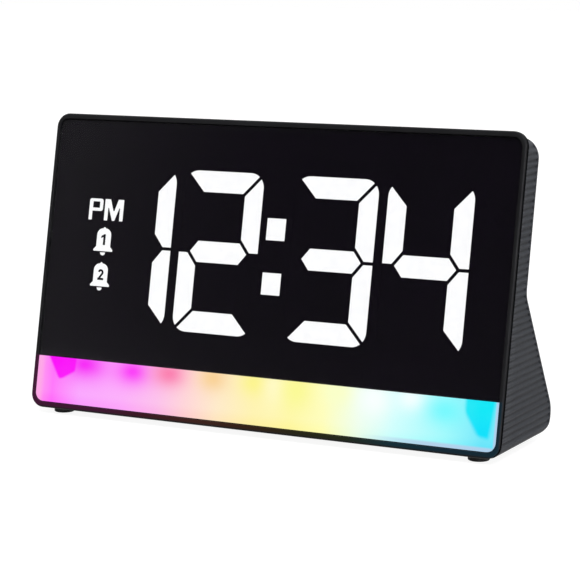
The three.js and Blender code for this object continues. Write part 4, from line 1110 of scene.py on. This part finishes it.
def shell(mesh, ribbed):
    """The housing's walls: an outer and an inner skin, joined round the open front."""
    housing_skin(mesh, 0.0, ribbed)
    housing_skin(mesh, WALL, "")
    bmesh.ops.remove_doubles(mesh, verts=mesh.verts, dist=MERGE * MM)
    rim = [edge for edge in mesh.edges if len(edge.link_faces) == 1]
    bmesh.ops.triangle_fill(mesh, use_beauty=True, edges=rim)


def add_bar(mesh, radius, near, far, centre, place):
    """Adds a round bar about centre (x, height), from near to far in the depth of place."""
    x, height = centre
    ends = [(radius, near), (radius, far)]
    add_turned(mesh, ends, lambda u, v, depth: place(x + u, depth, height + v), HOLE_SIDES)


def combine(target, tool, operation):
    """Joins, cuts or crosses target with tool, and removes tool."""
    modifier = target.modifiers.new("combine", "BOOLEAN")
    modifier.operation = operation
    modifier.solver = "EXACT"
    modifier.use_self = operation == "UNION"
    modifier.object = tool
    graph = bpy.context.evaluated_depsgraph_get()
    data = bpy.data.meshes.new_from_object(target.evaluated_get(graph))
    target.modifiers.clear()
    target.data = data
    bpy.data.objects.remove(tool)


SET_BUTTONS = ["alarm_1", "alarm_2", "time", "plus", "minus", "colour"]
BUTTON_LIP = 1.2
BUTTON_STEPS = 12  # of a button's corners
BUTTON_HOLE = (3.6, 3.6, BUTTON_STEPS)  # radius of the upper and lower corners, and their steps
INLET_RADIUS = 5.0
INLET_BACK = 0.2  # from the jack's mouth to the hole
INLET_PATCH = 1.6  # the smooth patch is wider than the hole by this
INLET_PATCH_FRONT = 20
WELL_RADIUS = 2.9
WELL_PATCH = 1.2
WELL_PATCH_FRONT = 9
HOLE_SIDES = 40
HOLE_FRONT = 10  # depth behind the face where the holes in the back start
PAST_SLIM = 16  # past the slim part's back
PAST_FOOT = 60  # past the foot's back
SLOT_INSET = 1.1
SLOT = (5.1, 9.9, 1.2, 1.2)  # its depths behind the face and its corners' radii
SLOT_HEIGHTS = (106, 114)
BELOW = -1  # under the case
FOOT_RECESS = 0.9
FOOT_SIDES = 36
DOOR_CORNER = 1.5
DOOR_RECESS = 1.9
SOUND_SLOTS = 5
SOUND_PITCH = 3.0
SOUND_SLOT = (6.5, 0.65, 0.6)  # half its length, half its width and its corners' radius
SOUND_DEPTH = 3
JACK_AXIS = 6.5  # above the jack's base
SIDES = ("left", "right")
jack_low, jack_high = base_box("dc_jack")
JACK_CENTRE = ((jack_low.x + jack_high.x) / 2, jack_low.z + JACK_AXIS)


def screw_wells(mesh, radius, front):
    for row in ("lower", "upper"):
        for side in SIDES:
            x, _, height = middle(panel_box(f"case_screw_{row}_{side}"))
            add_bar(mesh, radius, front, PAST_SLIM, (x, height), panel)


def patches(mesh):
    """Round bars where the housing is smooth: about the inlet and the screw wells."""
    add_bar(mesh, INLET_RADIUS + INLET_PATCH, INLET_PATCH_FRONT, PAST_FOOT, JACK_CENTRE, base)
    screw_wells(mesh, WELL_RADIUS + WELL_PATCH, WELL_PATCH_FRONT)


def openings(mesh):
    """Everything that is cut out of the housing."""
    add_bar(mesh, INLET_RADIUS, jack_high.y + INLET_BACK, PAST_FOOT, JACK_CENTRE, base)
    screw_wells(mesh, WELL_RADIUS, HOLE_FRONT)
    for name in SET_BUTTONS:
        outline = box_outline(*panel_box(name + "_button"), BUTTON_LIP - FIT_GAP, *BUTTON_HOLE)
        add_plate(mesh, outline, HOLE_FRONT, PAST_SLIM)
    low, high = panel_box("snooze_bar")
    slot = rectangle(low.x + SLOT_INSET, high.x - SLOT_INSET, *SLOT)
    loft(mesh, [at_height(slot, height) for height in SLOT_HEIGHTS])
    for side in SIDES:
        for row in ("front", "rear"):
            low, high = base_box(f"foot_{row}_{side}")
            x, y, _ = middle((low, high))
            radius = (high.x - low.x) / 2 + FIT_GAP
            add_slab(mesh, moved(circle(radius, FOOT_SIDES), x, y), BELOW, FOOT_RECESS)
    low, high = base_box("battery_door")
    door = rectangle(
        low.x - FIT_GAP, high.x + FIT_GAP, low.y - FIT_GAP, high.y + FIT_GAP, DOOR_CORNER, DOOR_CORNER,
    )
    add_slab(mesh, door, BELOW, DOOR_RECESS)
    x, middle_y, _ = middle(base_box("speaker_basket"))
    half_length, half_width, corner = SOUND_SLOT
    for i in range(SOUND_SLOTS):
        y = middle_y + (i - SOUND_SLOTS // 2) * SOUND_PITCH
        sides = (x - half_length, x + half_length, y - half_width, y + half_width)
        add_slab(mesh, rectangle(*sides, corner, corner), BELOW, SOUND_DEPTH)


def rear_housing():
    made = make(lambda mesh: shell(mesh, "ribs"))
    smooth = make(lambda mesh: shell(mesh, "patch"))
    combine(smooth, make(patches), "INTERSECT")
    combine(made, smooth, "UNION")
    combine(made, make(openings), "DIFFERENCE")
    made.name = made.data.name = "ribbed_housing"
    shade(made.data, SHARP_ANGLE)
    dress(made, "charcoal_plastic", replaces=["rear_housing"], material="ribbed_plastic")


rear_housing()


# Buttons, snooze bar, feet and inlet

BUTTON_FLANGE = (3.4, 3.4, BUTTON_STEPS)  # corners, as in BUTTON_HOLE
BUTTON_CAP = (3.3, 3.3, BUTTON_STEPS)
FLANGE_THICKNESS = 0.5
CAP_LAP = 0.2  # how far the cap reaches into its flange
# Width, drop and rise of a cap's rounded edge, how far in it is highest, and how far that is
# below the top of its box
BUTTON_CROWN = (0.5, 0.45, 0.33, 1.6, 0.02)
KEY_CROWN = (0.4, 0.4, 0.3, 1.2, 0.04)
MARK_LEVELS = (-0.1, 0.14)  # about the back of the button
MARK_REACH = 1.4
MARK_HALF = 0.3
MARK_ROUND = 0.2
MARK_JOIN = 0.05
MARK_STEPS = 4
MARK_SIDES = 24
DOT_RADIUS = 0.5
DOT_SHIFT = 1
OUTER_DOTS = 1.7


def crown(low, top, width, drop, rise, reach, short):
    """(inset, level) of a cap from its foot over its rounded edge to its slightly domed top."""
    edge = [(width * (1 - cos), top - drop + rise * sin) for cos, sin in quarter(first=1)]
    return [(0.0, low), (0.0, top - drop), *edge, (reach, top - short)]


def button(name):
    low, high = panel_box(name + "_button")
    x, _, z = middle((low, high))

    def build(mesh):
        flange_back = low.y + FLANGE_THICKNESS
        add_plate(mesh, box_outline(low, high, 0.0, *BUTTON_FLANGE), low.y, flange_back)
        cap = box_outline(low, high, BUTTON_LIP, *BUTTON_CAP)
        rings = crown(flange_back - CAP_LAP, high.y, *BUTTON_CROWN)
        loft(mesh, [at_depth(shrunk(cap, inset), depth) for inset, depth in rings])
        for mark in button_marks(name):
            add_plate(mesh, moved(mark, x, z), *(high.y + level for level in MARK_LEVELS))

    return build


def button_marks(name):
    """Raised marks: bars for plus and minus, dots for alarms and colour, a disc for the time."""
    def dots(*shifts):
        return [moved(circle(DOT_RADIUS, MARK_SIDES), shift, 0) for shift in shifts]
    thin = (-MARK_HALF, MARK_HALF)
    across = [rectangle(-MARK_REACH, MARK_REACH, *thin, MARK_ROUND, MARK_ROUND, MARK_STEPS)]
    upright = [
        rectangle(*thin, MARK_HALF, MARK_REACH, MARK_ROUND, MARK_JOIN, MARK_STEPS),
        rectangle(*thin, -MARK_REACH, -MARK_HALF, MARK_JOIN, MARK_ROUND, MARK_STEPS),
    ]
    return {
        "alarm_1": dots(0),
        "alarm_2": dots(-DOT_SHIFT, DOT_SHIFT),
        "time": [circle(MARK_REACH, MARK_SIDES)],
        "plus": across + upright,
        "minus": across,
        "colour": dots(-OUTER_DOTS, 0, OUTER_DOTS),
    }[name]


for name in SET_BUTTONS:
    piece(name + "_cap", button(name), "matt_black", name, [name + "_button"], SHARP_ANGLE)


KEY_INSET = 1.4
KEY = (5.4, 9.6, 1.0, 1.0)  # its depths behind the face and its corners' radii
KEY_HEIGHT = 2.6
KEY_LIP = (4.7, 10.3, 1.0, 1.0)
KEY_LIP_THICKNESS = 0.5
LEG_X = 25
LEG_HALF = 1.5
LEG_DEPTHS = (8.15, 9.75)
LEG_LAP = 0.1  # into the lip


def snooze(mesh):
    low, high = panel_box("snooze_bar")
    lip_top = high.z - KEY_HEIGHT
    lip_bottom = lip_top - KEY_LIP_THICKNESS
    cap = rectangle(low.x + KEY_INSET, high.x - KEY_INSET, *KEY)
    rings = crown(lip_top, high.z, *KEY_CROWN)
    loft(mesh, [at_height(shrunk(cap, inset), height) for inset, height in rings])
    lip = rectangle(low.x, high.x, *KEY_LIP)
    loft(mesh, [at_height(lip, height) for height in (lip_bottom, lip_top)])
    for x in (-LEG_X, LEG_X):
        leg = rectangle(x - LEG_HALF, x + LEG_HALF, *LEG_DEPTHS)
        loft(mesh, [at_height(leg, height) for height in (low.z, lip_bottom + LEG_LAP)])


piece("snooze_key", snooze, "matt_black", "snooze", ["snooze_bar"], SHARP_ANGLE)

FOOT_HUB = 0.4
FOOT_GROOVE = [(1.9, 0.0), (1.7, 0.2), (1.3, 0.2), (1.1, 0.0)]  # in from the side, and up
FOOT_EDGE = 0.4
FOOT_STEPS = 6
PAD_INSET = 0.3
PAD_HEIGHT = 1.1
FLARE_HEIGHT = 1.5


def foot(name):
    low, high = base_box(name)
    x, y, _ = middle((low, high))
    radius = (high.x - low.x) / 2

    def build(mesh):
        pad = radius - PAD_INSET
        profile = [(FOOT_HUB, low.z)]
        profile += [(radius - inset, low.z + up) for inset, up in FOOT_GROOVE]
        for cos, sin in quarter(FOOT_STEPS):
            profile.append((pad - FOOT_EDGE * (1 - sin), low.z + FOOT_EDGE * (1 - cos)))
        profile += [(pad, low.z + PAD_HEIGHT), (radius, low.z + FLARE_HEIGHT), (radius, high.z)]
        add_turned(mesh, profile, lambda u, v, z: base(x + u, y + v, z))

    return build


for row in ("front", "rear"):
    for side in SIDES:
        name = f"foot_{row}_{side}"
        piece("rubber_" + name, foot(name), "black_rubber", replaces=[name])

JACK_CORNER = 0.6
JACK_CHAMFER = 0.3
JACK_BORE = [(3.6, 0.0), (3.2, 0.4), (3.2, 9.5)]  # radius, and distance from the mouth
PIN_TIP = [(1.0, 0.4), (0.8, 0.1), (0.5, 0.0)]  # share of the radius, and distance from the end
PIN_SIDES = 24


def jack(mesh):
    """The inlet's body with a round mouth."""
    x, z = JACK_CENTRE
    mouth = jack_high.y
    body = box_outline(jack_low, jack_high, 0.0, JACK_CORNER, JACK_CORNER)
    outside = [(0.0, jack_low.y), (0.0, mouth - JACK_CHAMFER), (JACK_CHAMFER, mouth)]
    rings = [[base(p.x, y, p.y) for p in shrunk(body, inset)] for inset, y in outside]
    angles = [math.atan2(p.y - z, p.x - x) for p in body]
    for radius, back in JACK_BORE:
        ring = [(x + radius * math.cos(angle), z + radius * math.sin(angle)) for angle in angles]
        rings.append([base(u, mouth - back, v) for u, v in ring])
    loft(mesh, rings)


piece("inlet_body", jack, "chip_black", replaces=["dc_jack"])


def pin(mesh):
    low, high = base_box("dc_jack_pin")
    x, z = JACK_CENTRE
    radius = (high.x - low.x) / 2
    profile = [(radius, low.y)] + [(radius * share, high.y - back) for share, back in PIN_TIP]
    add_turned(mesh, profile, lambda u, v, w: base(x + u, w, z + v), PIN_SIDES)


piece("inlet_pin", pin, "bright_steel", replaces=["dc_jack_pin"])


# Floor, light and camera

FLOOR_HALF = 6.0
FLOOR_GREY = 0.24
FLOOR_LIFT = 0.91
AMBIENT = 0.42
# Direction of a card, cosines at its edge and where it is even, and levels outside and inside it.
# The part of the studio that the lens mirrors is dark, as behind a photographer,
# and a bright strip at the right draws the line along the frame's rounded edge.
DARK_CARD = ((-0.2, -0.93, 0.3), 0.77, 0.985, 1.0, 0.05)
BRIGHT_CARD = ((0.93, -0.35, 0.11), 0.9, 0.97, 0.0, 14.0)


def floor():
    mesh = bmesh.new()
    corners = ((-1, -1), (1, -1), (1, 1), (-1, 1))
    mesh.faces.new([mesh.verts.new((x * FLOOR_HALF, y * FLOOR_HALF, 0.0)) for x, y in corners])
    data = bpy.data.meshes.new("floor")
    mesh.to_mesh(data)
    mesh.free()
    add_object("floor", data)
    shader = Shader("floor_white")
    # The floor is white for the camera's rays and those in gloss and glass, as the background is
    path = shader.node("LightPath").outputs
    sees = path["Is Camera Ray"]
    for name in ("Is Glossy Ray", "Is Transmission Ray"):
        sees = shader.math("MAXIMUM", sees, path[name])
    shader.set(
        Base_Color=(FLOOR_GREY, FLOOR_GREY, FLOOR_GREY, 1.0),
        Roughness=0.9,
        Specular_IOR_Level=0.0,
        Emission_Color=WHITE,
        Emission_Strength=shader.times(sees, FLOOR_LIFT),
    )
    data.materials.append(shader.made)


def card(studio, direction, edge, even, outside, inside):
    """The level of a round card of the studio."""
    turn = studio.node("VectorMath", {"operation": "DOT_PRODUCT"})
    studio.join(turn.inputs[0], studio.place)
    studio.join(turn.inputs[1], Vector(direction).normalized())
    return studio.stretch(turn.outputs["Value"], edge, even, outside, inside)


def world():
    studio = Shader("studio", "worlds", "Background", "Generated")
    bpy.context.scene.world = studio.made
    mirrored = studio.math("ADD", card(studio, *DARK_CARD), card(studio, *BRIGHT_CARD))
    path = studio.node("LightPath").outputs
    level = studio.between(path["Is Glossy Ray"], AMBIENT, mirrored)
    level = studio.between(path["Is Transmission Ray"], level, 1.0)
    level = studio.between(path["Is Camera Ray"], level, 1.0)
    studio.set(Color=WHITE, Strength=level)


def sun(name, direction, strength, angle):
    light = bpy.data.lights.new(name, "SUN")
    light.energy = strength
    light.angle = math.radians(angle)
    made = add_object(name, light)
    made.rotation_mode = "QUATERNION"
    made.rotation_quaternion = Vector(direction).to_track_quat("Z", "Y")


CAMERA_PLACE = (0.3551, -0.6677, 0.1684)
CAMERA_DIP = 8.892  # degrees below level
CAMERA_TURN = 27.823  # degrees to the left of straight ahead
CAMERA_LENS = 130.67
SENSOR_WIDTH = 36.0
CLIP = (0.01, 50.0)


def camera():
    data = bpy.data.cameras.new("camera")
    data.sensor_width = SENSOR_WIDTH
    data.lens = CAMERA_LENS
    data.clip_start, data.clip_end = CLIP
    made = add_object("camera", data)
    made.location = CAMERA_PLACE
    made.rotation_euler = (math.radians(90 - CAMERA_DIP), 0.0, math.radians(CAMERA_TURN))
    bpy.context.scene.camera = made


floor()
world()
sun("key", (0.4, -0.5, 0.8), 1.6, 20)
sun("back", (-0.5, 0.6, 0.7), 0.5, 40)
camera()
bpy.context.scene.view_settings.view_transform = "Standard"
